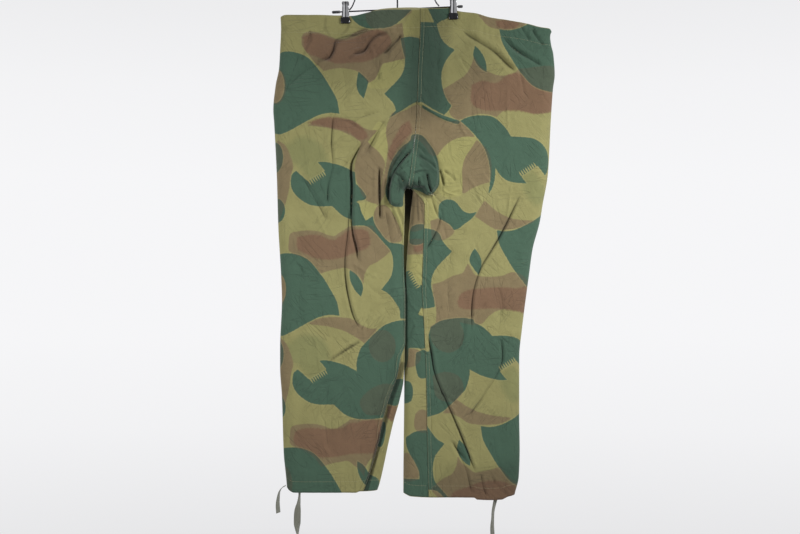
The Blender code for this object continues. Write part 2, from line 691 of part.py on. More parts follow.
# Clips: a spring bent over the bar, two jaws and their rubber tips
hug = FLAT_PINCH + GAP
spring_in = hug + 0.4
spring_out = spring_in + SPRING_THICK
arc = np.radians(np.linspace(180, 0, 9))
for side, (x, tips) in CLIPS.items():
    bar = bar_down(x)
    top, foot = bar - SPRING_HALF_TALL, bar + SPRING_HALF_TALL
    over = [(spring_out * math.cos(a), top - spring_out * math.sin(a)) for a in arc]
    under = [(spring_in * math.cos(a), top - spring_in * math.sin(a)) for a in arc[::-1]]
    band = [(-spring_out, foot)] + over + [(spring_out, foot), (spring_in, foot)]
    add_profile(f"clip_{side}_spring", band + under + [(-spring_in, foot)], x, SPRING_WIDE, chrome)
    lie = spring_out + GAP
    bend, loop = bar - LOOP_TALL / 2, bar - LOOP_TALL
    for face, sign in (("front", -1), ("back", 1)):
        jaw = [(lie, tips - GAP), (lie, bend), (lie + JAW_DEEP, loop)]
        jaw += [(lie + JAW_DEEP + JAW_THICK, loop), (lie + JAW_THICK, bend)]
        jaw.append((lie + JAW_THICK, tips - GAP))
        outline = [(sign * b, d) for b, d in jaw]
        add_profile(f"clip_{side}_jaw_{face}", outline[::sign], x, CLIP_WIDE, chrome)
        low = tips + TIP_TALL
        pad = [(hug, low), (hug, tips), (hug + TIP_THICK, tips), (hug + TIP_THICK, low - 2)]
        pad.append((hug + TIP_THICK - 1.5, low))
        outline = [(sign * b, d) for b, d in pad]
        add_profile(f"clip_{side}_tip_{face}", outline[::sign], x, TIP_WIDE, rubber)
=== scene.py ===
"""Drawstring overtrousers in camouflage cotton, hung by two clips from a wire hanger.

Lengths are in millimetres until they reach a mesh: `across` from the hanger's stem
towards the viewer's right, `down` from the middle of the hanger's bar, `back` from
the plane midway between the garment's front and back. The origin is the hook's seat.
"""

import math

import bpy
import numpy as np
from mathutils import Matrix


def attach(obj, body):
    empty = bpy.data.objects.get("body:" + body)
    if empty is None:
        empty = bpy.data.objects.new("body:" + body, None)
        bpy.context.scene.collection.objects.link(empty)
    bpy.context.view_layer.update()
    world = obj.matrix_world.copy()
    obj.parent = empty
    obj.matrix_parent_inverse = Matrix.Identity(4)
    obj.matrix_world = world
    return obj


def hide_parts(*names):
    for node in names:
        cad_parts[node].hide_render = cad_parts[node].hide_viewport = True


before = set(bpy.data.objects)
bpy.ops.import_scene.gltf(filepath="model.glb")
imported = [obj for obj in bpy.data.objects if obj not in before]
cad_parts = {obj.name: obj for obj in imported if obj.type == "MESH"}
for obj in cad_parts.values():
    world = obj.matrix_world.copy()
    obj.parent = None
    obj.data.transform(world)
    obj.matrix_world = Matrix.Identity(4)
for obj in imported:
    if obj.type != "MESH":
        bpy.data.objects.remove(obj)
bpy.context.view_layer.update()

# ---------------------------------------------------------------------------
# Studio: a pale floor under the hanging garment, a lamp at each side of its front
# and a broad one behind it, a sky that is brightest overhead and dimmer behind the
# camera, and the camera square to the front.
# ---------------------------------------------------------------------------
MM = 0.001
BAR_DROP = 130.0
FLOOR_DOWN = 1.62
FLOOR_RADIUS = 0.8
EYE = (0.0057, -2.444, -0.6967)
LENS = 50.0


def add_mesh(name, vertices, faces, material=None):
    """A mesh from vertices in metres and faces of any number of corners."""
    mesh = bpy.data.meshes.new(name)
    mesh.from_pydata(np.asarray(vertices, float).tolist(), [], faces)
    mesh.shade_smooth()
    if material is not None:
        mesh.materials.append(material)
    piece = bpy.data.objects.new(name, mesh)
    bpy.context.scene.collection.objects.link(piece)
    return piece


def hang(piece, replaced=None):
    """A piece rides on the one body; the CAD node it stands for, if any, is hidden."""
    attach(piece, "root")
    if replaced:
        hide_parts(replaced)


class Signal:
    """A shader socket that is used in plain arithmetic."""

    def __init__(self, finish, socket):
        self.finish, self.socket = finish, socket

    def __add__(self, other):
        return self.finish.math("ADD", self, other)

    def __radd__(self, other):
        return self.finish.math("ADD", other, self)

    def __sub__(self, other):
        return self.finish.math("SUBTRACT", self, other)

    def __rsub__(self, other):
        return self.finish.math("SUBTRACT", other, self)

    def __mul__(self, other):
        return self.finish.math("MULTIPLY", self, other)

    def __rmul__(self, other):
        return self.finish.math("MULTIPLY", other, self)

    def clamped(self):
        return self.finish.math("MINIMUM", self.finish.math("MAXIMUM", self, 0.0), 1.0)


class Finish:
    """One material, or the studio's surroundings, in the making: its shader and what feeds it."""

    def __init__(self, name, owners=bpy.data.materials, shader="Principled BSDF", **constants):
        self.material = owners.new(name)
        self.material.use_nodes = True
        self.nodes = self.material.node_tree.nodes
        self.links = self.material.node_tree.links
        self.shader = self.nodes[shader]
        for socket, value in constants.items():
            self.shader.inputs[socket.replace("_", " ")].default_value = value

    def add(self, kind, settings, sockets, output=0):
        """A node of that kind, its settings made first, then its sockets' values or links."""
        node = self.nodes.new(kind)
        for setting, value in settings.items():
            if setting == "stops":
                ramp = node.color_ramp
                for at, colour in value[2:]:
                    ramp.elements.new(at)
                for element, (at, colour) in zip(ramp.elements, sorted(value)):
                    element.position, element.color = at, (*colour, 1.0)
            else:
                setattr(node, setting, value)
        for name, value in sockets.items():
            if isinstance(value, Signal):
                self.links.new(value.socket, node.inputs[name])
            else:
                node.inputs[name].default_value = value
        return Signal(self, node.outputs[output])

    def math(self, operation, *values):
        return self.add("ShaderNodeMath", {"operation": operation}, dict(enumerate(values)))

    def blend(self, factor, first, second, how="MIX"):
        """A colour between two colours, by how much of the second there is."""
        plain = [(*c, 1.0) if isinstance(c, tuple) else c for c in (first, second)]
        settings = {"data_type": "RGBA", "blend_type": how}
        return self.add("ShaderNodeMix", settings, {0: factor, 6: plain[0], 7: plain[1]}, output=2)

    def noise(self, where, scale, detail=2.0, rough=0.5):
        sockets = {"Vector": where, "Scale": scale, "Detail": detail, "Roughness": rough}
        return self.add("ShaderNodeTexNoise", {}, sockets)

    def parts(self, where):
        """The first two parts of a place: across and along."""
        split = self.add("ShaderNodeSeparateXYZ", {}, {0: where})
        return split, Signal(self, split.socket.node.outputs[1])

    def wave(self, value, step):
        return self.math("SINE", value * (2 * math.pi / step))

    def attribute(self, name):
        return self.add("ShaderNodeAttribute", {"attribute_name": name}, {}, output=2)

    def stretched(self, where, *scale):
        settings = {"operation": "MULTIPLY"}
        return self.add("ShaderNodeVectorMath", settings, {0: where, 1: scale})

    def bump(self, height, distance, strength=1.0, normal=None):
        sockets = {"Height": height, "Distance": distance, "Strength": strength}
        if normal is not None:
            sockets["Normal"] = normal
        return self.add("ShaderNodeBump", {}, sockets)

    def feed(self, **signals):
        for socket, value in signals.items():
            self.links.new(value.socket, self.shader.inputs[socket.replace("_", " ")])
        return self.material


def srgb(red, green, blue):
    """A colour as a painter's chart gives it, 0 to 255, for a shader."""
    share = np.array([red, green, blue]) / 255.0
    straight, curved = share / 12.92, ((share + 0.055) / 1.055) ** 2.4
    return tuple(float(c) for c in np.where(share <= 0.04045, straight, curved))


def add_lamp(name, place, aim, size, power, spread=180):
    lamp = bpy.data.lights.new(name, "AREA")
    lamp.spread = math.radians(spread)
    lamp.shape = "RECTANGLE"
    lamp.size, lamp.size_y = size
    lamp.energy = power
    holder = bpy.data.objects.new(name, lamp)
    bpy.context.scene.collection.objects.link(holder)
    toward = np.array(aim, float) - np.array(place, float)
    holder.location = place
    flat = math.hypot(toward[0], toward[1])
    holder.rotation_euler = (math.atan2(flat, -toward[2]), 0, math.atan2(-toward[0], toward[1]))
    holder.visible_camera = False
    return holder


round_floor = [
    (FLOOR_RADIUS * math.cos(a), FLOOR_RADIUS * math.sin(a), -FLOOR_DOWN)
    for a in np.linspace(0, 2 * math.pi, 97)[:-1]
]
floor_finish = Finish("studio_floor", Base_Color=(0.7, 0.7, 0.71, 1), Roughness=0.9)
add_mesh("studio_floor", round_floor, [tuple(range(len(round_floor)))], floor_finish.material)

SKY = [
    (0.12, 0.10), (0.32, 0.36), (0.386, 0.80), (0.43, 0.885), (0.47, 0.92), (0.54, 0.92), (0.58, 0.895),
    (0.614, 0.845), (0.70, 0.9), (0.85, 1.25), (1.0, 1.3),
]  # fmt: skip
FRONT_DIM = 0.62
SKY_TINT = 1.015
room = Finish("studio", bpy.data.worlds, "Background")
split = room.add("ShaderNodeSeparateXYZ", {}, {0: room.add("ShaderNodeTexCoord", {}, {})})
rearward, upward = (Signal(room, split.socket.node.outputs[k]) for k in (1, 2))
stops = [(at, (level, level, level * SKY_TINT)) for at, level in SKY]
wall_light = room.add("ShaderNodeValToRGB", {"stops": stops}, {"Fac": upward * 0.5 + 0.5})
dim = (rearward * 1.2 + 0.6).clamped() * (1 - FRONT_DIM) + FRONT_DIM
room.feed(Color=wall_light, Strength=dim)
bpy.context.scene.world = room.material

CHEST = (0.03, 0.0, -0.68)
add_lamp("lamp_left", (-1.5, -1.05, -0.45), CHEST, (0.35, 0.5), 3.0, spread=64)
add_lamp("lamp_right", (1.4, -1.05, -0.12), CHEST, (0.35, 0.5), 5.3, spread=62)
add_lamp("lamp_behind", (0.3, 2.2, 0.1), CHEST, (1.6, 1.2), 24)

camera = bpy.data.objects.new("camera", bpy.data.cameras.new("camera"))
bpy.context.scene.collection.objects.link(camera)
camera.data.lens = LENS
camera.location = EYE
camera.rotation_euler = (math.pi / 2, 0, 0)
bpy.context.scene.camera = camera
bpy.context.scene.view_settings.view_transform = "Standard"

# ---------------------------------------------------------------------------
# Cut of the panels: two fronts and two backs of plain-woven cotton, hung by the
# waist. Each leg's back panel is wider than its front and wraps round to the
# front of the shin. Outlines are those of the garment as it hangs.
# ---------------------------------------------------------------------------
CLOTH = 0.9
WAIST, WAIST_CASING = 8.0, 38.0
CROTCH, GAP_RADIUS, GAP_ACROSS = 393.5, 9.5, 24.0
HEM, HEM_CASING = 1060.0, 23.0
TOP_FADE, HEM_FADE = 230.0, 120.0
SEAM_GAP = 0.3
SIDE_SEAM_BACK = 7.0
OUTER_ROUND, WAIST_ROUND, INNER_ROUND = 28.0, 16.0, 24.0
FLAT_PINCH = 3.1
FACE_STEPS = 641
COLUMNS = 180


def places(text):
    """Points, or rows of a table, from numbers joined by commas."""
    return np.array([[float(number) for number in row.split(",")] for row in text.split()])


def table(columns, rows):
    """One array for each named column."""
    return dict(zip(columns.split(), places(rows).T))


def cubic(values, slopes, step, i, t):
    """The smooth run from row i to the next, at the share t of the step between them."""
    rise = values[i] * (1 + 2 * t) * (1 - t) ** 2 + values[i + 1] * t * t * (3 - 2 * t)
    return rise + step * (slopes[i] * t * (1 - t) ** 2 - slopes[i + 1] * t * t * (1 - t))


def smooth(columns, at, key="down", value="across"):
    """A curve through a table's rows that never overshoots them."""
    x, y = columns[key], columns[value]
    step = np.diff(x)
    slope = np.diff(y) / step
    both = slope[:-1] * slope[1:]
    inner = np.where(both > 0, 2 * both / np.where(both > 0, slope[:-1] + slope[1:], 1), 0)
    m = np.concatenate([[slope[0]], inner, [slope[-1]]])
    at = np.clip(np.asarray(at, float), x[0], x[-1])
    i = np.clip(np.searchsorted(x, at, side="right") - 1, 0, len(x) - 2)
    return cubic(y, m, step[i], i, (at - x[i]) / step[i])


def ease(t):
    t = np.clip(t, 0, 1)
    return t * t * (3 - 2 * t)


def passed_along(line):
    """How far along a line each of its points lies."""
    return np.concatenate([[0], np.cumsum(np.linalg.norm(np.diff(line, axis=0), axis=1))])


def curve_through(points, steps):
    """A smooth curve through points, evenly spaced."""
    points = np.array(points, float)
    knots = passed_along(points)
    slopes = np.gradient(points, knots, axis=0)
    at = np.linspace(0, knots[-1], steps)
    i = np.clip(np.searchsorted(knots, at, side="right") - 1, 0, len(knots) - 2)
    step = knots[i + 1] - knots[i]
    return cubic(points, slopes, step[:, None], i, ((at - knots[i]) / step)[:, None])


LEFT_SIDE = table("down across", """
    18,-257 41,-256 89,-258 127,-260 169,-268 221,-273 252,-271 373,-265 477,-262 582,-256 639,-254
    745,-258 787,-258 851,-254 976,-250 1027,-245 1049,-243""")
RIGHT_SIDE = table("down across", """
    50,339 62,336 78,338 100,343 144,346 177,342 252,337 362,331 426,320 468,313 529,297 580,290
    703,274 765,268 892,268 967,269 1027,267 1066,258""")
LEFT_INNER = table("down across", """
    403,14.5 435,15 540,13 639,16.5 734,16.5 811,14 859,5 901,-7 947,-18 1042,-39 1060,-45""")
RIGHT_INNER = table("down across", "403,33.5 435,30 540,21 639,15.5 734,15 811,15 1057,13 1071,13")
FRONT_TOP = table("across down", """
    -257,18 -245,15 -126,15 -102,16 -73,12 -36,7 0,6 30,6 72,2 114,-2 133,5 171,11 204,21 244,27
    282,34 317,43 334,45 339,50""")
BACK_TOP = table("across down", """
    -257,18 -245,15 -126,15 -102,16 -73,10 -36,1 -11,-1 30,-2 72,-1 114,-2 133,5 171,11 204,20 244,25
    282,32 317,42 334,45 339,50""")
LEFT_HEM = table("across down", "-244,1049 -237,1056 -227,1060 -91,1060 -82,1057 -45,1056")
RIGHT_HEM = table("across down", """
    13,1062 29,1068 69,1070 168,1071 175,1075 204,1076 229,1075 239,1070 259,1066""")
CENTRE = table("down across", "8,50 32,50 147,45 207,43 276,39 331,32 394,24")
LEFT_FLAP = table("down wide", "393,0 734,0 765,9 804,15 829,22 866,26 903,25 954,23 1060,30")
RIGHT_FLAP = table("down wide", "393,0 397,2 433,29 637,39 692,43 787,47 967,52 1071,56")
DEPTH = table("down front back", """
    0,9,8 46,12,12 110,16,17 221,19,21 310,20,22 393,20,21 480,18,18 640,17,16 815,16,15 970,14,13
    1076,12,11""")

# Rows from waist to hem, closest together round the top of the gap between the legs
ROWS = np.concatenate(
    [
        np.linspace(WAIST, CROTCH - 5, 168),
        np.linspace(CROTCH - 4, CROTCH + GAP_RADIUS, 28),
        np.linspace(CROTCH + GAP_RADIUS + 2, HEM, 197),
    ]
)
TRUNK = int(np.searchsorted(ROWS, CROTCH, side="right"))

# ---------------------------------------------------------------------------
# Creases of the hung cloth: soft troughs and sharp pulls from the clips, the
# crotch and the hems. Each row gives a half width, a rise (a trough is negative),
# the step by which the right side stands higher, and the line in across,down.
# ---------------------------------------------------------------------------
FRONT_CREASES = [
    # viewer's left hip, below the clip
    (5, -5.5, -2, "-171,116 -150,109 -142,97 -133,67 -116,61 -95,58 -78,54"),
    (4.5, -5, 0, "-102,101 -74,95 -59,74 -45,61 -28,57"),
    (5, -5.5, 2, "-32,103 -13,85 1,70 9,58"),
    (4, -2, 0, "-38,110 -41,135 -40,160"),
    (5, -2.5, 0, "-192,50 -195,66 -201,84"),
    (12, -2.5, 0, "-214,100 -228,140 -246,190"),
    (9, -3, 0, "-168,120 -211,146 -240,172"),
    (10, -1.6, 0, "-120,130 -112,180 -118,230"),
    # crotch lip and the fan beside it
    (3.5, 1.6, 2.4, "-22,242 1,229 23,218 43,206 60,218 100,243 137,252"),
    (5, -2.5, 0, "-104,259 -78,240 -36,227"),
    (4, 2.0, 0, "-92,258 -84,244 -72,234"),
    (5, -4, 0, "-71,322 -54,292 -40,266 -27,246"),
    (4, 2.2, 0, "-60,322 -46,294 -34,268"),
    # viewer's left thigh and knee
    (3.4, -3.4, 0, "-139,224 -144,294 -142,351 -150,382 -153,440"),
    (4.5, -2.2, 0, "-102,329 -118,348 -134,369"),
    (4.2, -9, 4, "-71,284 -84,309 -98,336 -99,393 -100,446 -97,492 -88,530 -86,562"),
    (3.6, -4.5, 1, "-105,430 -109,499 -114,540 -114,582 -106,637 -91,686 -74,712"),
    (4.6, -10, 0, "-40,345 -39,404 -38,466"),
    (7, -3.5, 0, "-206,372 -190,400 -172,432 -152,470"),
    (3.5, -3.8, 0, "-78,728 -108,746 -150,773"),
    (4, -1.6, 0, "-56,658 -64,676 -68,694"),
    (11, -1.6, 0, "-206,560 -214,640 -208,700"),
    (12, -1.8, 0, "-150,830 -158,900 -150,970"),
    (8, -1.4, 0, "-100,560 -60,610 -22,640"),
    # bunched cloth round the crotch
    (2.6, -7, 3, "33,312 12,333 -5,357 -15,380 -18,400 -17,423 -13,437"),
    (2.4, -3.4, 0, "-6,362 6,370 14,384"),
    (2.4, -3.0, 0, "2,374 5,392 1,410"),
    (2.4, -2.4, 0, "26,334 12,350 0,362"),
    (2.8, -4, 0, "47,370 46,384 52,397"),
    (2.8, -5, 0, "64,362 67,384 75,410"),
    (2.8, -3, 0, "44,322 60,333 75,343 88,356"),
    (3.2, 2.2, 0, "36,362 50,355 66,356"),
    (2.6, -2, 0, "40,300 54,312 64,326"),
    (3, -3.6, 0, "90,352 97,374 101,392"),
    (3.4, -2.4, 0, "100,356 114,366 128,380"),
    (3, 1.8, 0, "98,396 110,406 132,410"),
    (3.4, -4, 0, "96,452 87,484 75,508 60,532"),
    (3, -2.6, 0, "72,410 80,434 90,462"),
    (3, -2.6, 0, "-2,438 6,456 13,476"),
    (3, -2.6, 0, "-14,440 -6,462 4,496"),
    (4, -2.2, 0, "-26,440 -20,480 -12,520"),
    # overlap of the viewer's left shin, where the back panel comes round
    (4, -2, -8, "14,745 -1,804 -22,866 -43,954 -74,1056"),
    # viewer's right hip and waist
    (6, -5, 3, "139,44 160,62 182,76 213,97 244,127 262,142"),
    (5, -5, 0, "230,62 254,88 286,109 318,128"),
    (4, -3, 0, "294,44 304,62 320,84"),
    (3.5, -2.4, 0, "270,38 278,54 290,72"),
    (8, -2, 0, "96,60 88,110 92,160"),
    (10, -2, 0, "200,150 170,190 160,250"),
    # viewer's right thigh to shin
    (3.2, -4.4, 1.6, "275,395 254,439 240,468 224,499 202,536 186,562 169,609 161,710"),
    (3, 1.4, 0, "248,386 243,435 238,465"),
    (2.8, 1.0, 0, "241,170 240,220 241,268"),
    (4.5, -2.4, 0, "147,678 143,723 126,762"),
    (3.0, -5.0, 2, "64,706 75,758 80,791 93,829 111,868 129,909 143,943 174,1024"),
    (3.4, -3.2, 0, "226,716 228,776 217,804 197,835 175,868 148,902"),
    (4.2, -2.6, 0, "116,945 136,972 158,1000"),
    (4, -3, 0, "119,945 136,978 149,1007 158,1042 163,1066"),
    (4, -3, 0, "183,1020 188,1049 196,1070"),
    (9, -2, 0, "120,520 110,600 116,680"),
    (12, -2, 0, "210,600 226,660 220,720"),
]
BACK_CREASES = [
    (9, -7, 0, "-150,70 -110,130 -70,210 -30,300"),
    (5, -4, 0, "-128,60 -96,96 -60,116 -20,122"),
    (5, -3.4, 0, "-96,58 -60,78 -24,84"),
    (9, -7, 0, "190,80 160,150 120,240 80,320"),
    (5, -4, 0, "140,54 172,84 206,120 246,140"),
    (4.5, -3, 0, "106,60 84,92 66,120"),
    (5, -4, 0, "-70,300 -40,340 -6,372"),
    (5, -4, 0, "116,300 84,344 52,374"),
    (6, -5, 0, "-90,340 -60,410 -64,480"),
    (6, -5, 0, "110,330 96,410 104,500"),
    (9, -8, 3, "-120,400 -112,500 -130,600 -120,700"),
    (4, -3.4, 0, "-150,430 -158,540 -146,640"),
    (9, -8, -3, "150,390 160,480 140,600 120,690"),
    (4, -3.2, 0, "214,420 196,520 190,610"),
    (8, -6, 0, "-150,760 -120,850 -130,960"),
    (4, -3.4, 0, "-72,700 -92,780 -84,880 -62,960"),
    (8, -6, 0, "150,740 170,840 140,960"),
    (4, -3.2, 0, "86,720 104,810 92,900 112,1010"),
    (9, -5, 0, "-225,200 -200,300 -205,420"),
    (9, -5, 0, "290,180 270,290 265,400"),
    (4, -2.4, 0, "-200,660 -176,700 -140,720"),
    (4, -2.4, 0, "224,700 200,742 160,760"),
    (4, -3, 0, "-206,1002 -196,1030 -200,1058"),
    (4, -3, 0, "120,1004 112,1034 118,1066"),
    (4, -3, 0, "210,1000 206,1030 214,1066"),
]
POUCH = places("""
    37,276 15,305 -12,353 -21,397 -21,426 -10,436 8,436 16,424 20,398 28,394 54,396 63,411 74,411
    89,391 92,364 87,338 72,305 50,281""")
POUCH_HEIGHT, POUCH_SOFT = 13.0, 6.5
CLIPS = {"left": (-114, 19), "right": (123, 10)}  # across, top of the tips
CLIP_FLAT, PINCH_REACH, PINCH_DOWN, PINCH_BELOW, TIP_TALL = 15.0, 50.0, 70.0, 8.0, 12.8
BAR_COVER, COVER_FADE, COVER_DOWN, COVER_FORWARD = (-101.0, 110.0), 62.0, 150.0, 11.0
SHINS_MEET, SHINS_FADE, SHINS_REACH, SHINS_PART = (560.0, 860.0), 90.0, 45.0, 4.6
GAP_CLOSED, BEHIND_GAP, GAP_SPARE, GAP_FADE, BULGE_FADE = 640.0, 3.0, 1.6, 1.2, 50.0
GATHERED = [(48.0, 20.0), (1036.0, 16.0)]  # rows where a drawn casing is stitched, and its reach
GATHER_HEIGHT, GATHER_SQUASH, GATHER_WAVE = 1.3, 0.15, 11
WAVES = [(1.5, 3, 0.6, 90), (0.75, 5, 0.7, 34), (0.28, 9, 0.8, 15)]  # height, seed, squash, length


def along(line, across, down):
    """Nearest distance to a line, the same signed to its right, and the share of it passed."""
    start, run = line[:-1], np.diff(line, axis=0)
    long = (run**2).sum(axis=1)
    dx, dd = across[:, None] - start[:, 0], down[:, None] - start[:, 1]
    t = np.clip((dx * run[:, 0] + dd * run[:, 1]) / long, 0, 1)
    far = np.hypot(dx - t * run[:, 0], dd - t * run[:, 1])
    k = far.argmin(axis=1)
    pick = np.arange(len(k)), k
    sign = np.sign(run[k, 1] * dx[pick] - run[k, 0] * dd[pick])
    return far[pick], sign * far[pick], (k + t[pick]) / len(run)


# how far a crease's painted dark line reaches in millimetres, and its relief in half widths
CREASE_SHADE_REACH, CREASE_REACH = 2.2, 6
CREASE_NARROWED, CREASE_LEAST, CREASE_GAIN = 0.82, 2.5, 1.1
CREASE_TAPER, CREASE_UNEVEN, CREASE_TURNS = 0.13, 0.22, 9


def boxed(line, reach, across, down):
    """Which places lie in a line's box, made larger by reach all round."""
    low, high = line.min(axis=0) - reach, line.max(axis=0) + reach
    return (across > low[0]) & (across < high[0]) & (down > low[1]) & (down < high[1])


def creased(rows, across, down, worn=False):
    """Height of the creases above the smooth wall, outwards; or, with the flag set, how far inside
    the painted dark line of the nearest crease each place lies, a painted shade along the crease."""
    height = np.zeros(across.shape)
    for wide, rise, step, points in rows:
        line = curve_through(points, 4 * len(points))
        here = boxed(line, CREASE_REACH * wide, across, down)
        near, side, share = along(line, across[here], down[here])
        wide = max(CREASE_NARROWED * wide, CREASE_LEAST)
        taper = ease(share / CREASE_TAPER) * ease((1 - share) / CREASE_TAPER)
        uneven = 1 + CREASE_UNEVEN * np.sin(CREASE_TURNS * share + points[0][0])
        # painted shade: a dark line along the crease, wider on deeper creases
        if worn:
            depth = min(1.0, (abs(min(rise, 0)) + 0.5 * abs(step)) / 5)
            height[here] = np.maximum(height[here], CREASE_SHADE_REACH * depth * uneven * taper - near)
            continue
        banks = 0.25 * np.exp(-(((near - 2.2 * wide) / (1.3 * wide)) ** 2))
        hollow = np.exp(-((near / wide) ** 1.25)) - banks
        shelf = 0.5 * step * np.tanh(side / (0.6 * wide)) * np.exp(-((near / (4 * wide)) ** 2))
        height[here] += CREASE_GAIN * taper * (uneven * rise * hollow + shelf)
    return height


def small_creases(seed, count):
    """Short creases of worn cotton all over a face, most of them nearly upright."""
    pick = np.random.default_rng(seed)
    rows = []
    for _ in range(count):
        start = np.array([pick.uniform(-245, 320), pick.uniform(50, 1030)])
        lean, bend = pick.normal(0, 0.55, 2)
        run = pick.uniform(25, 95) * np.array([math.sin(lean), math.cos(lean)])
        middle_at = start + run / 2 + 0.12 * bend * np.array([run[1], -run[0]])
        rise = pick.uniform(0.4, 1.5) * (-1 if pick.random() < 0.65 else 1)
        rows.append((pick.uniform(2.2, 4.0), rise, pick.normal(0, 0.4), [start, middle_at, start + run]))
    return rows


ALL_CREASES = {
    face: [(*row, places(line)) for *row, line in rows] + small_creases(seed, 90)
    for face, rows, seed in (("front", FRONT_CREASES, 21), ("back", BACK_CREASES, 22))
}


def swell(seed, across, down, wave, ways=7):
    """Gentle uneven waves of about that length, between -1 and 1."""
    pick = np.random.default_rng(seed)
    total = np.zeros(np.broadcast(across, down).shape)
    for _ in range(ways):
        turn, shift = pick.uniform(0, 2 * math.pi, 2)
        length = wave * pick.uniform(0.7, 1.6)
        total += np.sin((across * math.cos(turn) + down * math.sin(turn)) * 2 * math.pi / length + shift)
    return total / ways


def inside_outline(outline, x, y):
    """Whether points lie inside a closed outline."""
    inside = np.zeros(x.shape, bool)
    for (ax, ay), (bx, by) in zip(outline, np.roll(outline, -1, axis=0)):
        if ay != by:
            inside ^= ((ay > y) != (by > y)) & (x < (bx - ax) * (y - ay) / (by - ay) + ax)
    return inside


def pouch(across, down):
    """Height of the bunched crotch cloth, steep round its lower edge."""
    height = np.zeros(across.shape)
    here = boxed(POUCH, 0, across, down)
    x, y = across[here], down[here]
    near, _, _ = along(np.concatenate([POUCH, POUCH[:1]]), x, y)
    top = POUCH[:, 1].min()
    grow = ease((y - top) / (0.7 * (CROTCH - top)))
    height[here] = POUCH_HEIGHT * grow * np.where(inside_outline(POUCH, x, y), ease(near / POUCH_SOFT), 0)
    return height


def side_edges(down):
    return smooth(LEFT_SIDE, down), smooth(RIGHT_SIDE, down)


def inner_edge(leg, down):
    """The leg's edge between the legs, with a round top at the crotch."""
    edges = LEFT_INNER if leg == "left" else RIGHT_INNER
    sign = -1 if leg == "left" else 1
    top = LEFT_INNER["down"][0]
    drop = np.clip(top - down, 0, GAP_RADIUS)
    arch = GAP_ACROSS + sign * np.sqrt(GAP_RADIUS**2 - drop**2)
    return np.where(down < top, arch, smooth(edges, down))


def quarter(t):
    """An ellipse's quarter: 0 at the fold, 1 on the flat."""
    return np.sqrt(1 - (1 - np.clip(t, 0, 1)) ** 2)


def clipped(across, down):
    """0 between a clip's tips and 1 away from them."""
    free = np.ones(across.shape)
    for x, tips in CLIPS.values():
        beside = np.clip(np.abs(across - x) - CLIP_FLAT, 0, None) / PINCH_REACH
        below = np.clip(down - tips - TIP_TALL - PINCH_BELOW, 0, None) / PINCH_DOWN
        free *= ease(np.hypot(beside, below))
    return free


def middle(leg, across, down):
    """The plane midway between front and back, bowed before the bar at the waist
    and parted where the shins pass each other."""
    if leg == "trunk":
        cover = ease((across - BAR_COVER[0]) / COVER_FADE) * ease((BAR_COVER[1] - across) / COVER_FADE)
        return -COVER_FORWARD * cover * ease((COVER_DOWN - down) / COVER_DOWN)
    sign = -1 if leg == "left" else 1
    meet = ease((down - SHINS_MEET[0]) / SHINS_FADE) * ease((SHINS_MEET[1] - down) / SHINS_FADE)
    reach = np.abs(across - inner_edge(leg, down)) / SHINS_REACH
    return sign * SHINS_PART * meet * (1 - ease(reach))


def wall(face, leg, across, down):
    """How far back the face lies, first without its creases and then with them."""
    left, right = side_edges(down)
    rounding = WAIST_ROUND + (OUTER_ROUND - WAIST_ROUND) * ease(down / 200)
    full = quarter((across - left) / rounding) * quarter((right - across) / rounding)
    crotch_line = LEFT_INNER["down"][0]
    above = np.hypot(across - GAP_ACROSS, crotch_line - down) - GAP_RADIUS
    if leg == "trunk":
        full = full * quarter(above / INNER_ROUND)
    else:
        level = np.abs(across - inner_edge(leg, down))
        full = full * quarter(np.where(down < crotch_line, above, level) / INNER_ROUND)
    depth = smooth(DEPTH, down, value=face)
    front = face == "front"
    relief = creased(ALL_CREASES[face], across, down)
    for height, seed, squashed, wave in WAVES:
        relief += height * swell(seed if front else seed + 1, across, down * squashed, wave)
    for line, reach in GATHERED:
        gathers = GATHER_HEIGHT * swell(7 if front else 8, across, down * GATHER_SQUASH, GATHER_WAVE)
        relief += gathers * np.exp(-(((down - line) / reach) ** 2))
    if front:
        relief += pouch(across, down)
    sign = -1 if front else 1
    centre, free = middle(leg, across, down), clipped(across, down)
    plain = centre + sign * full * (FLAT_PINCH + (depth - FLAT_PINCH) * free)
    return plain, plain + sign * full * relief * free


def lowered(face, leg, across, row):
    """The height of a row at each point: it follows the waist's and the hem's edges."""
    top = FRONT_TOP if face == "front" else BACK_TOP
    down = row + ease((TOP_FADE - row) / (TOP_FADE - WAIST)) * (smooth(top, across, "across", "down") - WAIST)
    if leg == "trunk":
        return down
    hem = LEFT_HEM if leg == "left" else RIGHT_HEM
    sag = ease((row - HEM + HEM_FADE) / HEM_FADE)
    return down + sag * (smooth(hem, across, "across", "down") - HEM)


def edge_pair(leg, row):
    """Where rows start and end, from the viewer's left to right."""
    waist = ease((TOP_FADE - row) / (TOP_FADE - WAIST))
    hem = ease((row - HEM + HEM_FADE) / HEM_FADE)
    left = side_edges(row + waist * (FRONT_TOP["down"][0] - WAIST) + hem * (LEFT_HEM["down"][0] - HEM))[0]
    right_down = row + waist * (FRONT_TOP["down"][-1] - WAIST) + hem * (RIGHT_HEM["down"][-1] - HEM)
    right = side_edges(right_down)[1]
    if leg == "left":
        right = inner_edge("left", row + hem * (LEFT_HEM["down"][-1] - HEM))
    if leg == "right":
        left = inner_edge("right", row + hem * (RIGHT_HEM["down"][0] - HEM))
    return left, right


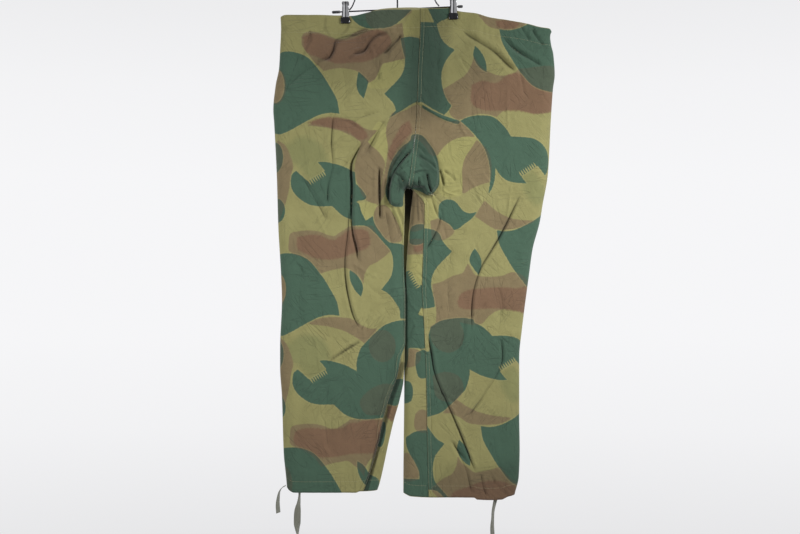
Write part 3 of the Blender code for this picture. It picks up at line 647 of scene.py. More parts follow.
def sections(leg, rows):
    """Closed sections, one for each row: points, lengths along them with and without
    creases, and the lengths at which the seams lie."""
    left, right = (edge[:, None] for edge in edge_pair(leg, rows))
    if leg == "trunk":
        share = (1 - np.cos(np.linspace(0, math.pi, (FACE_STEPS + 1) // 2))) / 2
        centre = smooth(CENTRE, rows)[:, None]
        halves = [left + (centre - left) * share, centre + (right - centre) * share[1:]]
        across = np.concatenate(halves, axis=1)
    else:
        across = left + (right - left) * (1 - np.cos(np.linspace(0, math.pi, FACE_STEPS))) / 2
    turn = FACE_STEPS - 1
    grids = {}
    inward = np.zeros(across.shape)
    if leg == "left":
        gap = np.maximum(edge_pair("right", rows)[0] - edge_pair("left", rows)[1], 0)[:, None]
        gap = np.where(rows[:, None] < GAP_CLOSED, gap + (BEHIND_GAP + GAP_SPARE) * ease(gap / GAP_FADE), 0)
        inset = right - across
        inward = gap * ease(inset / BEHIND_GAP) * (1 - ease((inset - BEHIND_GAP) / BULGE_FADE))
    for face in ("front", "back"):
        down = lowered(face, leg, across, rows[:, None])
        for kind, back in zip(("plain", "creased"), wall(face, leg, across, down)):
            back[:, 0] = middle(leg, across, down)[:, 0] if leg == "right" else 0
            back[:, -1] = middle(leg, across, down)[:, -1] if leg == "left" else 0
            grids[face, kind] = np.stack([across + inward * (face == "back"), back, down], axis=-1)
    rings, lengths = {}, {}
    for kind in ("plain", "creased"):
        ring = np.concatenate([grids["front", kind], grids["back", kind][:, ::-1][:, 1:]], axis=1)
        steps = np.linalg.norm(np.diff(ring, axis=1), axis=2)
        rings[kind] = ring
        lengths[kind] = np.concatenate([np.zeros((len(rows), 1)), np.cumsum(steps, axis=1)], axis=1)
    length = lengths["creased"]
    whole = length[:, -1]
    seams = {"left side": whole - SIDE_SEAM_BACK, "right side": length[:, turn] + SIDE_SEAM_BACK}
    if leg == "trunk":
        seams["front"], seams["back"] = length[:, turn // 2], length[:, -1 - turn // 2]
    else:
        flap = smooth(LEFT_FLAP if leg == "left" else RIGHT_FLAP, rows, value="wide")
        seam = right[:, 0] - flap if leg == "left" else left[:, 0] + flap
        seams["front"] = np.array([np.interp(f, a, n[: turn + 1]) for f, a, n in zip(seam, across, length)])
        seams["back"] = seams["front"] + (whole if leg == "right" else 0)
    return {
        "points": rings["creased"],
        "length": length,
        "plain": lengths["plain"],
        "whole": whole,
        "seams": seams,
        "across": across,
    }


def unit(vectors):
    return vectors / np.linalg.norm(vectors, axis=-1, keepdims=True)


trunk_rows, leg_rows = ROWS[:TRUNK], ROWS[TRUNK:]
hung = {"trunk": sections("trunk", trunk_rows)}
hung.update({leg: sections(leg, leg_rows) for leg in ("left", "right")})


ANCHORS = {"left": -110, "right": 170}  # where the opened cloth is measured from
ASIDE = 1.2  # the step aside that shows which way a strip faces


class Panel:
    """A panel on the hung sections: where it starts and ends in each row, and any
    strip of its surface between those seams."""

    def __init__(self, face, side):
        self.face, self.side = face, side
        self.parts = [hung["trunk"], hung[side]]
        spans = []
        for part in self.parts:
            seams = part["seams"]
            between = {
                "front left": (seams["left side"] - part["whole"], seams["front"]),
                "front right": (seams["front"], seams["right side"]),
                "back left": (seams["back"], seams["left side"]),
                "back right": (seams["right side"], seams["back"]),
            }
            spans.append(between[f"{face} {side}"])
        self.start = np.concatenate([s for s, _ in spans]) + SEAM_GAP / 2
        self.end = np.concatenate([e for _, e in spans]) - SEAM_GAP / 2

    def columns(self, share):
        """Lengths along the sections at shares of the panel's width."""
        return self.start[:, None] + (self.end - self.start)[:, None] * np.asarray(share)

    def at(self, where):
        """Points at lengths along the sections, in (across, back, down), and how far
        round the garment they lie when it is opened flat."""
        points, flat = [], []
        row = 0
        anchor = ANCHORS[self.side]
        leg = self.parts[1]
        first_zero = np.interp(anchor, leg["across"][0], leg["plain"][0, :FACE_STEPS])
        for part in self.parts:
            for ring, length, plain, whole, across in zip(
                part["points"], part["length"], part["plain"], part["whole"], part["across"]
            ):
                start = where[row]
                lap = np.mod(start, whole)
                points.append(np.stack([np.interp(lap, length, ring[:, k]) for k in range(3)], axis=-1))
                zero = np.interp(anchor, across, plain[:FACE_STEPS])
                round_it = np.interp(lap, length, plain)
                round_it += np.where(start > whole, plain[-1], 0) - np.where(start < 0, plain[-1], 0)
                if self.face == "back" and row < TRUNK:
                    zero = first_zero
                    leg_round = leg["plain"][0]
                    if self.side == "left":
                        round_it += leg_round[-1] - plain[-1]
                    else:
                        round_it += leg_round[FACE_STEPS - 1] - plain[FACE_STEPS - 1] - leg_round[-1]
                elif self.side == "right" and self.face == "back":
                    round_it -= plain[-1]
                flat.append(anchor + round_it - zero)
                row += 1
        return np.array(points), np.array(flat)

    def strip(self, where):
        """World points, outward directions and flat places of a strip."""
        points, flat = self.at(where)
        ahead, behind = self.at(where + ASIDE)[0], self.at(where - ASIDE)[0]
        rows_down = np.gradient(points, axis=0) * (1, 1, -1)
        out = -unit(np.cross((ahead - behind) * (1, 1, -1), rows_down))
        return points * (1, 1, -1) - (0, 0, BAR_DROP), out, np.stack([flat, points[..., 2]], axis=-1)


panels = {f"{f}_{s}": Panel(f, s) for f in ("front", "back") for s in ("left", "right")}


def set_back(outer, out, coarse):
    """How much deeper a coarser inside must lie so that it never comes through."""
    rows, columns = (np.arange(n) / coarse for n in outer.shape[:2])
    few = outer[::coarse, ::coarse]
    i, j = (np.minimum(at.astype(int), n - 2) for at, n in zip((rows, columns), few.shape))
    u, v = (rows - i)[:, None, None], (columns - j)[None, :, None]
    i, j = i[:, None], j[None, :]
    chord = (1 - u) * ((1 - v) * few[i, j] + v * few[i, j + 1])
    chord += u * ((1 - v) * few[i + 1, j] + v * few[i + 1, j + 1])
    proud = np.maximum(((chord - outer) * out).sum(axis=-1), 0)
    for axis in (0, 1):
        for shift in (coarse, -coarse, 1, -1):
            proud = np.maximum(proud, np.roll(proud, shift, axis))
    return proud


def shell(near, far, closed_round=False, coarse=1):
    """Faces of a wall between two grids of points; the far one may skip rows and columns."""
    rows, columns = near.shape[:2]
    far = far[::coarse, ::coarse]
    far_rows, far_columns = far.shape[:2]
    base = rows * columns
    spans = columns if closed_round else columns - 1

    def quads(height, width, over, first, flip):
        i, j = np.meshgrid(np.arange(height - 1), np.arange(over), indexing="ij")
        k = (j + 1) % width
        above, below = i * width, (i + 1) * width
        quad = np.stack([above + j, below + j, below + k, above + k], axis=-1).reshape(-1, 4) + first
        return (quad[:, ::-1] if flip else quad).tolist()

    far_spans = far_columns if closed_round else far_columns - 1
    faces = quads(rows, columns, spans, 0, False) + quads(far_rows, far_columns, far_spans, base, True)
    for j in range(far_spans):
        k = (j + 1) % far_columns
        fine = [(j * coarse + step) % columns for step in range(coarse + 1)]
        faces.append([base + k, base + j] + fine)
        last, far_last = (rows - 1) * columns, base + (far_rows - 1) * far_columns
        faces.append([far_last + j, far_last + k] + [last + f for f in fine[::-1]])
    if not closed_round:
        for i in range(far_rows - 1):
            fine = [(i * coarse + step) * columns for step in range(coarse + 1)]
            faces.append([base + i * far_columns, base + (i + 1) * far_columns] + fine[::-1])
            edge = columns - 1
            right = [base + (i + 1) * far_columns + far_columns - 1, base + i * far_columns + far_columns - 1]
            faces.append(right + [f + edge for f in fine])
    vertices = np.concatenate([near.reshape(-1, 3), far.reshape(-1, 3)]) * MM
    return vertices, faces, base


# ---------------------------------------------------------------------------
# Camouflage print: a common army brush-stroke pattern in dark green over red-brown
# and khaki on olive, printed on plain cotton. It is charted in squares of
# 2.2 mm; each motif comes again about 196 squares further down, and the right panels
# are cut the other way up. A slash stands before each corner of a closed outline.
# ---------------------------------------------------------------------------
SQUARE = 2.2
CHART_ZERO = (397.4, 9.4)
PRINT_REACH = 14.0
MOTIFS = {
    "big_leaf": """
    340,315.5 337.5,302 331,289.5 320,272.5 306,258 290,253.3 272,257 259,275 256,298 261,322
    271,333.5 281,335.7 291,332 300,327 310,321.4 321,316.3 331,314.5""",
    "bird": """
    298.6,368.6 304,373.5 / 310,379 / 327,368.5 323,363.5 / 319.8,360 325,359.6 334,361 345,364.2 /
    357,370.3 358,395 / 352.9,417 344.3,412.9 338.6,407.9 / 334.3,403.6 320,403.6 311.4,402
    302.9,397 297,391.4 293.6,384.3 293.3,377 295,371.4""",
    "lobe": """
    357,370.3 356.8,362.9 358.6,354.3 361.4,347 365,343 370,337.7 377,331 384.3,325 391.4,322
    400,320 409,321 417,332 420,352 417,376 408,396 397,408 384.3,416 378,417.3 361.4,418.3 /
    352.9,417 350,395""",
    "crescent": """
    334.3,207.6 341,213 349,221.5 359,227 369,229 379,227.5 / 389,223.6 389,222 379,211.5 371,200
    364,188 360.4,175 360.4,165 362,155 / 363.5,148 358,155 355.4,165 / 354.7,175 345,190""",
    "small_leaf": """
    350,270 355,273 360.5,279.5 363.3,286.5 / 361.4,296.7 356,291 352,284 350,276""",
    "arrow": """
    381.4,289.3 386.5,283 390.5,277.5 392.8,269 393,260 390.7,251 384,243 377,234.5 / 372,225.5
    380,233.5 390,242.5 400,243.8 / 412,247 420,262 423,285 421,305 412,318 / 400.3,318 399.5,309
    395,301.5 389,294""",
    "high_arrow": """
    384.3,95 390,89.3 395.7,83.6 401.4,76.4 404.6,68 405,60.7 403.6,53.6 402,46.4 / 401.4,40
    410,38.5 430,44 434,80 430,112 410,118 397,113 394.3,106.4 390,100.7""",
    "brown_crescent": """
    308,323.6 318,318.5 330,316.8 342,317 352,318.5 361,324.3 370,328 / 378,328 / 365,343
    355.7,336.4 345,330.6 330,326.4""",
    "brown_blob": """
    289.3,244.3 291.4,233.6 300,231.4 310,230.7 320,232 330,235.7 334,236.4 340,232.9 345.7,229.3
    349,227 360,226.4 / 373,225.7 375.7,232 381.4,240 / 390.7,251 383,258 375.7,262.9 370,265.7
    365,274.3 / 363.6,283.6 358.6,276.4 354,272.9 347,267.9 340,268.6 330,270.7 / 321,273.6 314,265
    304,257.5 293,253.5 289.5,250""",
    "brown_heart": """
    298,237 318,235 334,240 350,230 368,232 370,245 352,254 345,257 310,256 298,248""",
    "brown_leaf": """
    371.3,203.6 365.6,195 361.3,188 359,180.7 358.4,169.3 / 360,160.7 367,160 375.6,155.7 /
    385,149.6 386,165 385.6,173.6 384,182 381.3,188 377,195""",
    "khaki_strip": """
    278,141 286,146 291,156 294,168 292,176 290,190 286,205 282,215 / 276,225 270,200 270,150""",
}
COMB_FOOT, COMB_TIP = places("310,379 327,368.5")
GAP_LIT, GAP_LIGHTENS = 440.0, 60.0  # where the painted shade between the legs begins to lift, and how soon
SHADOWS = [  # painted shadows of folds: half width and softness in millimetres, strength, and the fold's line on the chart
    (20, 70, 0.20, "335,62 400,66 470,62"),
    (16, 60, 0.46, "428,22 426,60 424,100"),
    (4.2, 2.4, 0.62, "402.5,364 398,380 391,400 384,425 378.5,443 372,468 366,489"),
    (1.4, 2.4, 0.55, "411,151 404,160 398,168 394,173 390,182 389,192 390,204"),
    (9, 11, 0.3, "404,150 398,160 394,172"),
    (14, 11, 0.33, "420,145 427,156 431,170 430,184"),
    (8, 10, 0.2, "395,182 397,200"),
    (5, 7, 0.45, "402,176 404,187"),
    (4, 7, 0.45, "416,186 424,191"),
    (1, 2.2, 0.45, "395,175 398,175.5 399,179 398,183 401,185.5 402,183"),
    (1, 2.2, 0.4, "396,176 393,180 395,184 399,187 397,190"),
    (1, 2.2, 0.45, "414,174 419,172 424,171.5 428,172"),
    (1, 2.2, 0.45, "413,182 415,187 420,189.5 424,188"),
    (1, 2.2, 0.55, "419.5,182 420.5,187 423,189.5 424.5,186"),
    (1.4, 2.4, 0.55, "427,176 429.5,184 430,194"),
    (1, 2.4, 0.45, "417,157 424,162 429,167 436,174"),
    (1, 2.4, 0.4, "419,146 426,152 430,158"),
    (1, 2.4, 0.4, "420,166 424,170 430,176 433,181"),
    (1, 2.6, 0.45, "417.5,193 417.5,205 418.5,220"),
    (1, 3.4, 0.35, "414,198 413,212 412,224"),
    (1, 3.0, 0.35, "421,196 422,210 424,224"),
    (1, 3.0, 0.35, "398,208 402,216 406,232"),
    (1, 3.0, 0.35, "392,207 397,218 402,236"),
    (2, 6, 0.42, "320,62 331,58 334,50 338,42 345,38.5 357,34 366,31"),
    (1.5, 6, 0.38, "350,59 358,53.5 366,50 371,42 377,38 386,35"),
    (1.5, 5, 0.34, "379,80 379,56 385,53 393,45 400,40"),
    (1.2, 4, 0.26, "303,60 308,48 312,40 311,33"),
    (1.2, 4, 0.22, "326,20 326,30 330,36"),
    (1.2, 4, 0.28, "350,22 347,30 342,35"),
    (1, 3, 0.26, "329,362 343,351.5 359,342"),
    (0.6, 2.0, 0.35, "406,285 405,300 404.5,320 405,345 403,362"),
    (20, 40, 0.2, "452,482 480,484 514,480"),
    (2.5, 2.4, 0.5, "423,192 425,196 428,197 433,194"),
    (1.8, 2.4, 0.45, "409,189.5 413,190.5 420,191.5 424,193"),
]


DOME = """
    415,135 421.4,136.4 428.6,144.3 434.3,152.9 437.4,161.4 438.9,174 438,187 433.6,193 428.6,196
    420,192 410,190 405,200 404.3,206 398.6,207.3 392.9,206.4 387,199 385.4,192.9 387,182 388.5,172
    391.4,162.9 395.7,155.7 402.9,147 410,141.4 412,136"""
PRINT = {
    "front_left": f"""
    green big_leaf 0,-200.5 0,0 6,193
    green bird -1.5,-197 0,0
    green outline 349,14 353,20 360,26 370,30 382,30.5 394,28 404,21 / 413,12 412,6 352,6
    green lobe 0,0
    green small_leaf 0,0 7.5,190
    green arrow 0,0
    green outline 358.8,73 364,77.5 / 368.8,82.5 366.5,92 / 363.8,100 359,94 357,88 357.3,80
    green outline 384.3,95 390,89.3 395.7,83.6 401.4,76.4 404.6,68 405,60.7 403.6,53.6 402,46.4 /
      401.4,40 410,38.5 / 420,40 / 420,102 413.5,104.5 403,111 / 388.5,119.5 / 396,111.5
      394.3,106.4 390,100.7
    green oval 274,158 10,15
    green oval 274,354 10,15
    green oval 276,211 10,12
    green oval 276,407 10,12
    green outline 353,182 358,186 366,199.5 358,201.5 352,203
    green outline 352,202 358,203 362,213 / 366,221 / 373,216.5 374.5,223 380,232 / 388,243 376,234
      368,227 / 352,226
    green outline {DOME}
    brown brown_heart 0,0 1,192
    brown outline 296,430 306,427 330,428 350,425 362,420 378,418 392,419 393,436 386,449 372,452
      350,453 335,456 318,456 303,449 294,440
    brown outline 308,124 318,120 330,118 345,119.5 355,123 364,130 368,138 360,141 350,134 336,130
      322,127
    brown outline 303,38 310,35 322,36 334,40 345,41 360,36 374,32 388,35 392,44 386,52 378,58
      366,63 350,64 338,65 322,60 306,52
    brown outline 409,122 412,131 405,141 397,150 391,162 388,158 391,146 397,134 403,125
    bare oval 275.5,87 10,17
    bare oval 278,289 8.5,14.5
    wash outline 286,148 300,138 318,143 328,168 312,180 298,166 284,158
    wash outline 288,344 304,334 322,338 330,364 312,378 300,366 288,356
    khaki brown_blob 0,0 1,192
    khaki khaki_strip 0,0 0,196
    khaki outline 367,8 367.5,22 374,30 392,29 404,21 414,12 412,5 390,4
    khaki oval 382.5,345.5 13.5,16
    khaki outline 398,384 384,383 370,389 360,402 366,413 380,414 398,408
    khaki oval 276.5,87.5 10.5,18
    khaki oval 277,290 10,17
    khaki oval 283,483 10,17
    khaki brown_crescent 0,-197 0,0 6,193
    khaki outline 302,46 303,35.5 308,32.8 320,34.3 330,37 338,39.5 347,38.5 354,33.5 362,30.5
      377,31.3 390,28.6 / 404,25 / 406,60 398.6,61.4 390,63.6 382.9,65.7 379.3,72 375,80.7 /
      368.6,84.3 361.4,76 357,72.5 350,70.5 340,69.5 330,71 / 324.3,72.5 312,60
    khaki outline 363,136 372,147 378,152 385,164 383,175 379.5,190 379,204 367,201 358,185 355,172
      357,157 361,145
    khaki outline 392,114 404,112 416,106 416,138 407,146 397,159 391,174 388,188 382,200 377,206
      380,190 386,166 388,148 386,132
    khaki outline 374,214 378,206 386,206 394,216 400,228 403,240 392,243 382,236 375,226
    light outline 373,130 379,122.5 384.3,125.7 388.6,137 387.9,147 383.6,161.4 380,161.4
      372.9,154.3 367.9,148.6 368.6,141.4
    light outline 415,8 410,19 402,38 411,36.5 422,37.5 422,8
    light outline 386,197 398,205 406,207 405,238 397,226 388,214
    light outline 359,203.5 377,204 376,212 366,220.5
    light outline 378,60 392,58 404,66 402,74 390,88 376,90 368,88 374,74
    comb bird -1.5,-197 0,0""",
    "front_right": f"""
    green big_leaf 839.7,345.9 836,546 820,740.5
    green bird 826,739
    green lobe 826,736
    green arrow 825.7,731.9
    green high_arrow 836,346.7
    green small_leaf 836,343.5 820,735
    green outline 474.3,248.5 479,255.5 481,262 480.5,268.5 / 478,275 473,268.5 469,261 470.5,254
    green outline 449,6 446,19 440,21.5 / 435,25 436.5,30 441.5,41 448.5,48 / 454.3,51 449,57 444,65
      441.3,74 441.2,83 443,92 446,100 / 451,107 447,113 / 443.5,116 434,111 / 422,103.5 414,103.5
      410,60 / 412,24.5 / 432,23.6 428.6,16.4 423.6,6
    green outline 422,106 430,110.5 444,117 / 459,122 459,124 448,122.5 434,116 / 422,109
    green outline 459.5,122 468,118 480,116.5 492,118 500,124 506,131 / 510,137.5 520,138 532,139.5
      540,144 546,151 / 550,160 548,172 / 544.5,176 / 536.5,166.7 / 520,177 / 525.5,184 515,183.5
      504,180 498,174 / 494.5,168.5 494.3,178 492,187 / 487,196.5 489,185 489.7,175 488,162
      484,150 475,137 468,129.5
    green outline 438,213 439.3,204.3 442.9,201 449.3,200 454.3,201.7 458.6,206.4 462.9,211.4
      468.6,213.6 / 477,212 470,220 462.9,225 458.6,228.6 / 453.6,230.3 450,225.7 442.9,221
      438.6,218.6
    green outline {DOME}
    brown brown_heart 821,739
    brown outline 457,301 461,293 470,289.5 483,288 500,287 515,288 532,287 532,313 515,311
      500,308.5 480,308.5 466,309 458,306
    brown outline 471,86 482,82 496,84 506,77 516,74 530,82 545,88 560,90 560,108 548,113 536,115
      520,112.5 498,112 482,111 472,106
    brown outline 496,22 508,21 520,24 516,29 506,30 498,28
    bare outline 423,322 430,322 428.6,334 427.4,351 425.6,350.5 424.4,338
    wash outline 520,178 531,172 540,182 546,198 536,206 526,198
    wash outline 498,374 512,366 522,378 524,396 512,402 502,390
    khaki brown_blob 821,739
    khaki brown_crescent 820,740.5
    khaki outline 432,284 440,282 452,276 463,272 467,264 475,275 485,276.5 500,276 512,272 532,285
      532,313 510,309 498,310 488,316 483,322 445,322 437,327 436,310 433,297
    khaki outline 430,326 440,320 455,319 463,330 461,345 450,352 440,350 431,340
    khaki outline 432,375 445,371 460,377 463,390 452,401 438,398
    khaki outline 473.5,57.5 471,66 465,76 455,83 / 442,91 446,100 / 451.5,107 449,113 456,121
      470,117 482,115 / 496,118 503,112 512,110.5 522,112 535,115 545,114 / 560,111 560,70 /
      518,70 514,74.5 507,76.5 497,76.5 / 487,73 479,66
    khaki outline 478,16 490,28 500,30.5 508,31 520,29 / 528,24.5 520,16 478,12
    khaki outline 416,104 424,110 434,116 448,122.5 / 459.5,122 468,129.5 / 474,137.8 462,138
      450,142.5 442,149.5 / 437.5,156 432,157 424,147 416,140 409,140 409,118
    khaki outline 476,141 470,150 464,160 461.7,170 462,185 / 461.5,196 470,190 480,185.5 /
      490,182.5 491,170 486,150
    khaki outline 484,201 478,210 / 474,216.5 485,224 / 494,229.5 505,230 515,228.5 527,225 /
      537,220.5 524,220.5 510,218.5 500,214 491,207.5
    khaki outline 430,221 440,219 450,226 454,231 446,239 434,240
    light outline 437.5,156 442,149.5 450,142.5 462,138 / 475,137.5 476,141 470,150 464,160
      461.7,170 462,185 / 461,196 450,198 442,196 437.5,190 439.5,175
    light outline 420,6 424.5,6 429,16.4 432,23.6 420.5,24.8 414,24 414,6
    light outline 424,197 434,196 437,206 434,222 426,224
    light outline 416,103.5 421,104 427,113.5 422,111 / 416,108
    comb bird 845.8,545.8 826,739""",
    "back_left": """
    green big_leaf 176,-104 172,92 170,-300
    green bird 168,-100 172,96
    green lobe 166,-296 172,92
    green crescent 170,-92 172,104
    green arrow 130,-150 132,46
    green small_leaf 172,-102 170,96
    green oval 474,250 12,15
    green oval 474,446 12,15
    green oval 474,54 12,15
    green outline 382,380.5 393,379 404,379 406,390 405,399 398,405 390,404 380,400
    green outline 376,424 384,421 385,436 381,446 374,444
    green outline 360,476 371,474 380,480 378,492 362,493
    brown brown_heart 172,-104 170,92
    brown brown_crescent 174,-100 172,96
    brown brown_leaf 150,-40 152,156
    brown outline 388,405 397,404 398,414 393,421 388,418
    khaki brown_blob 172,-104 170,92
    khaki khaki_strip 230,0 232,196
    light outline 470,330 486,336 492,352 482,366 470,352
    comb bird 168,-100 172,96""",
    "back_right": """
    green big_leaf 660,250 662,446 664,642
    green bird 664,446 668,642
    green crescent 664,348 668,544
    green lobe 660,446
    green small_leaf 650,340 652,536
    green outline 408,243 410,228 418,224.5 427,226 428,238 421,244 414,245
    green outline 403,272 409.6,270.5 414.4,278 419.4,285.5 424,284 428,287 428,320 428,346 424,348
      416,347.5 403,347.5
    green outline 416,352 424,349.5 429,352 429,376 420,377.5 415.5,366
    green outline 403,380 410,381.5 413,391 410,401 403,403
    green outline 405,437 414,431 432,430 432,495 421,496 418.6,470 414,460 409,452 406,445
    green outline 402,478 418,478 431,480 431,496 402,496
    brown brown_heart 662,250 664,446 664,642
    brown brown_crescent 662,446 664,642
    brown outline 413,243 420,241 424,245 421,251 415,252
    bare outline 417.8,314.2 419.5,311 421.5,307.5 424,308 424,315.5 420,315
    khaki brown_blob 662,250 664,446 664,642
    khaki outline 402,190 414,188 426,194 427,226 414,232 402,226
    khaki outline 404,241 412,239 427,242 427,252 413,254.5 404,254
    khaki outline 403,349 413,348 420,351 419,362 408,367 403,366
    khaki outline 414,420 416,412 421,408.5 428,411 428,431 419,431 415,428
    khaki outline 402,453 408,452 414,459 419,470 418,478 412,480 402,480
    light outline 409,255 421,253 428,258 428,282 414,283 408,270
    light outline 416,306 437,306 437,315 417,315
    comb bird 664,446 668,642
    comb at 409.8,270.6 0.55,0.835""",
}


def on_cloth(squares):
    """Millimetres on the opened cloth, from squares of the chart."""
    return (squares - CHART_ZERO) * SQUARE


def closed_curve(text):
    """A closed outline on the chart, smooth between its corners, of which the first is its start."""
    runs = [places(run) for run in text.split("/")]
    strokes = [np.concatenate([run, after[:1]]) for run, after in zip(runs, runs[1:] + runs[:1])]
    return np.concatenate([curve_through(stroke, 5 * len(stroke))[:-1] for stroke in strokes])


def read_chart(name, text):
    """Each ink's outlines on the cloth, and the foot and direction of each comb-edged gap.
    A motif is drawn at each place it is moved to, half turned on the right panels."""
    sign = -1 if name.endswith("right") else 1
    chart = {ink: [] for ink in ("green", "brown", "khaki", "light", "bare", "wash", "comb")}
    entries = []
    for word in text.split():
        if word in chart:
            entries.append([word])
        else:
            entries[-1].append(word)
    around = np.linspace(0, 2 * math.pi, 13)
    for ink, form, *words in entries:
        text = " ".join(words)
        if form == "at":
            foot, run = places(text)
            chart[ink].append((on_cloth(foot), run))
        elif ink == "comb":
            run = sign * unit(COMB_TIP - COMB_FOOT)
            chart[ink] += [(on_cloth(sign * COMB_FOOT + move), run) for move in places(text)]
        elif form == "outline":
            chart[ink].append(on_cloth(closed_curve(text)))
        elif form == "oval":
            centre, half = places(text)
            spots = centre + half * np.stack([np.cos(around), np.sin(around)], axis=1)
            chart[ink].append(on_cloth(curve_through(spots, 5 * len(spots))[:-1]))
        else:
            motif = sign * closed_curve(MOTIFS[form])
            chart[ink] += [on_cloth(motif + move) for move in places(text)]
    return chart


charts = {name: read_chart(name, text) for name, text in PRINT.items()}


def depth_inside(outlines, across, down):
    """How far inside the nearest outline each place lies; outside it is negative."""
    best = np.full(across.shape, -PRINT_REACH)
    for outline in outlines:
        here = boxed(outline, PRINT_REACH, across, down)
        if here.any():
            x, y = across[here], down[here]
            near = along(np.concatenate([outline, outline[:1]]), x, y)[0]
            best[here] = np.maximum(best[here], np.where(inside_outline(outline, x, y), near, -near))
    return best


def painted_fold_shade(points, out):
    """Painted shade at points of the hung cloth: how dark the creases' painted lines are, and how
    deep a painted shade the cloth takes beside and behind a fold and between the legs."""
    across, down = points[..., 0].ravel(), -points[..., 2].ravel() - BAR_DROP
    back, facing = points[..., 1].ravel(), out[..., 1].ravel()
    lines = [creased(ALL_CREASES[face], across, down, worn=True) for face in ("front", "back")]
    left, right = (smooth(edge, down) for edge in (LEFT_INNER, RIGHT_INNER))
    # painted shade between the legs, dark below the crotch and lifting lower down
    gap = (down > CROTCH) & (down < GAP_CLOSED) & (back > 1.5)
    gap = gap & (facing < 0.5) & (across > left - 1) & (across < right + 1)
    shade = np.where(gap, 1.0 - 0.8 * ease((down - GAP_LIT) / GAP_LIGHTENS), 0.0)
    # painted shadows along the charted folds, on the faces towards the front
    for wide, soft, strength, route in SHADOWS:
        spots = places(route)
        near = along(on_cloth(curve_through(spots, 3 * len(spots))), across, down)[0]
        shade = np.maximum(shade, np.where(facing < 0, strength * (1 - ease((near - wide) / soft)), 0))
    return np.where(facing < 0, *lines), shade


def store(mesh, key, values):
    mesh.attributes.new(key, "FLOAT", "POINT").data.foreach_set("value", values.astype(np.float32))


def lay_flat(mesh, flat):
    """A mesh's cloth map: where each point lies on the flat cloth."""
    corner = np.empty(len(mesh.loops), np.int32)
    mesh.loops.foreach_get("vertex_index", corner)
    mesh.uv_layers.new(name="cloth").data.foreach_set("uv", (flat[corner] * MM).astype(np.float32).ravel())


def print_on(piece, name, flat, painted_shade=(0.0, 0.0)):
    """Store the print at a mesh's points, which lie flat at (across, down), the painted shade of
    its creases and folds, and its cloth map.
    """
    mesh, chart, across, down = piece.data, charts[name], flat[:, 0], flat[:, 1]
    values = {ink: depth_inside(chart[ink], across, down) for ink in ("green", "brown", "khaki", "light")}
    feet, runs = (np.array(column) for column in zip(*chart["comb"]))
    own = ((flat[:, None, :] - feet) ** 2).sum(axis=2).argmin(axis=1)
    away = flat - feet[own]
    values["comb_along"] = (away * runs[own]).sum(axis=1)
    values["comb_over"] = away[:, 1] * runs[own, 0] - away[:, 0] * runs[own, 1]
    for key, value in zip(("worn", "shade"), painted_shade):
        values[key] = np.zeros(len(flat))
        values[key][: np.size(value)] = value
    if chart["bare"]:
        values["green"] = np.minimum(values["green"], -depth_inside(chart["bare"], across, down))
    values["wash"] = depth_inside(chart["wash"], across, down)
    for key, value in values.items():
        store(mesh, key, value)
    lay_flat(mesh, flat)


def soft_edge(value, wide):
    """1 where a value in millimetres is positive, 0 where it is negative, blurred over wide."""
    return (value * (1 / wide) + 0.5).clamped()


THREAD_STEPS = (0.0011, 0.0012)


def weave_bump(cloth, where, grain):
    """The bump of a plain weave: threads over and under, uneven yarn and a little puckering."""
    warp, weft = (cloth.wave(at, step) for at, step in zip(cloth.parts(where), THREAD_STEPS))
    threads = cloth.bump(warp * weft, 0.00012, 0.5)
    slubs = cloth.bump(grain, 0.0006, 0.55, normal=threads)
    pucker = cloth.noise(where, 120.0, 3.0, 0.6)
    return cloth.bump(pucker, 0.0022, 0.5, normal=slubs)


PRESSED = [  # turn in degrees, noise scale along the creases and over them, half width of a ridge
    (4, 9.0, 60.0, 0.022),
    (97, 8.0, 52.0, 0.022),
    (52, 14.0, 80.0, 0.03),
    (131, 12.0, 70.0, 0.03),
]
DYES = {  # the darkest and the lightest of each ink
    "olive": (srgb(113, 109, 68), srgb(125, 122, 79)),
    "khaki": (srgb(97, 85, 60), srgb(111, 98, 71)),
    "brown": (srgb(91, 69, 51), srgb(104, 79, 60)),
    "green": (srgb(50, 75, 61), srgb(62, 70, 55)),
}
LIGHT, WASH, RIM, FADED = srgb(127, 124, 76), srgb(92, 98, 62), srgb(138, 134, 92), srgb(150, 146, 118)
COMB_PITCH, COMB_LONG, COMB_THICK = 5.3, 43.0, 0.56


def pressed_creases(cloth, where):
    """The fine sharp creases of cotton that has lain folded: patches of them, each set one way,
    used for their bump and for the painted shade along them.
    """
    made = []
    for turn, along_it, over_it, thin in PRESSED:
        sockets = {"Vector": where, "Angle": math.radians(turn)}
        spun = cloth.add("ShaderNodeVectorRotate", {"rotation_type": "Z_AXIS"}, sockets)
        patches = cloth.noise(spun, 11.0, 2.0, 0.5)
        lines = cloth.noise(cloth.stretched(spun, along_it, over_it, 1.0), 1.0, 1.0, 0.4)
        ridge = (1 - cloth.math("ABSOLUTE", lines - 0.5) * (1 / thin)).clamped()
        made.append(ridge * ((patches - 0.5) * 8.0).clamped())
    return cloth.math("MAXIMUM", cloth.math("MAXIMUM", *made[:2]), cloth.math("MAXIMUM", *made[2:]))


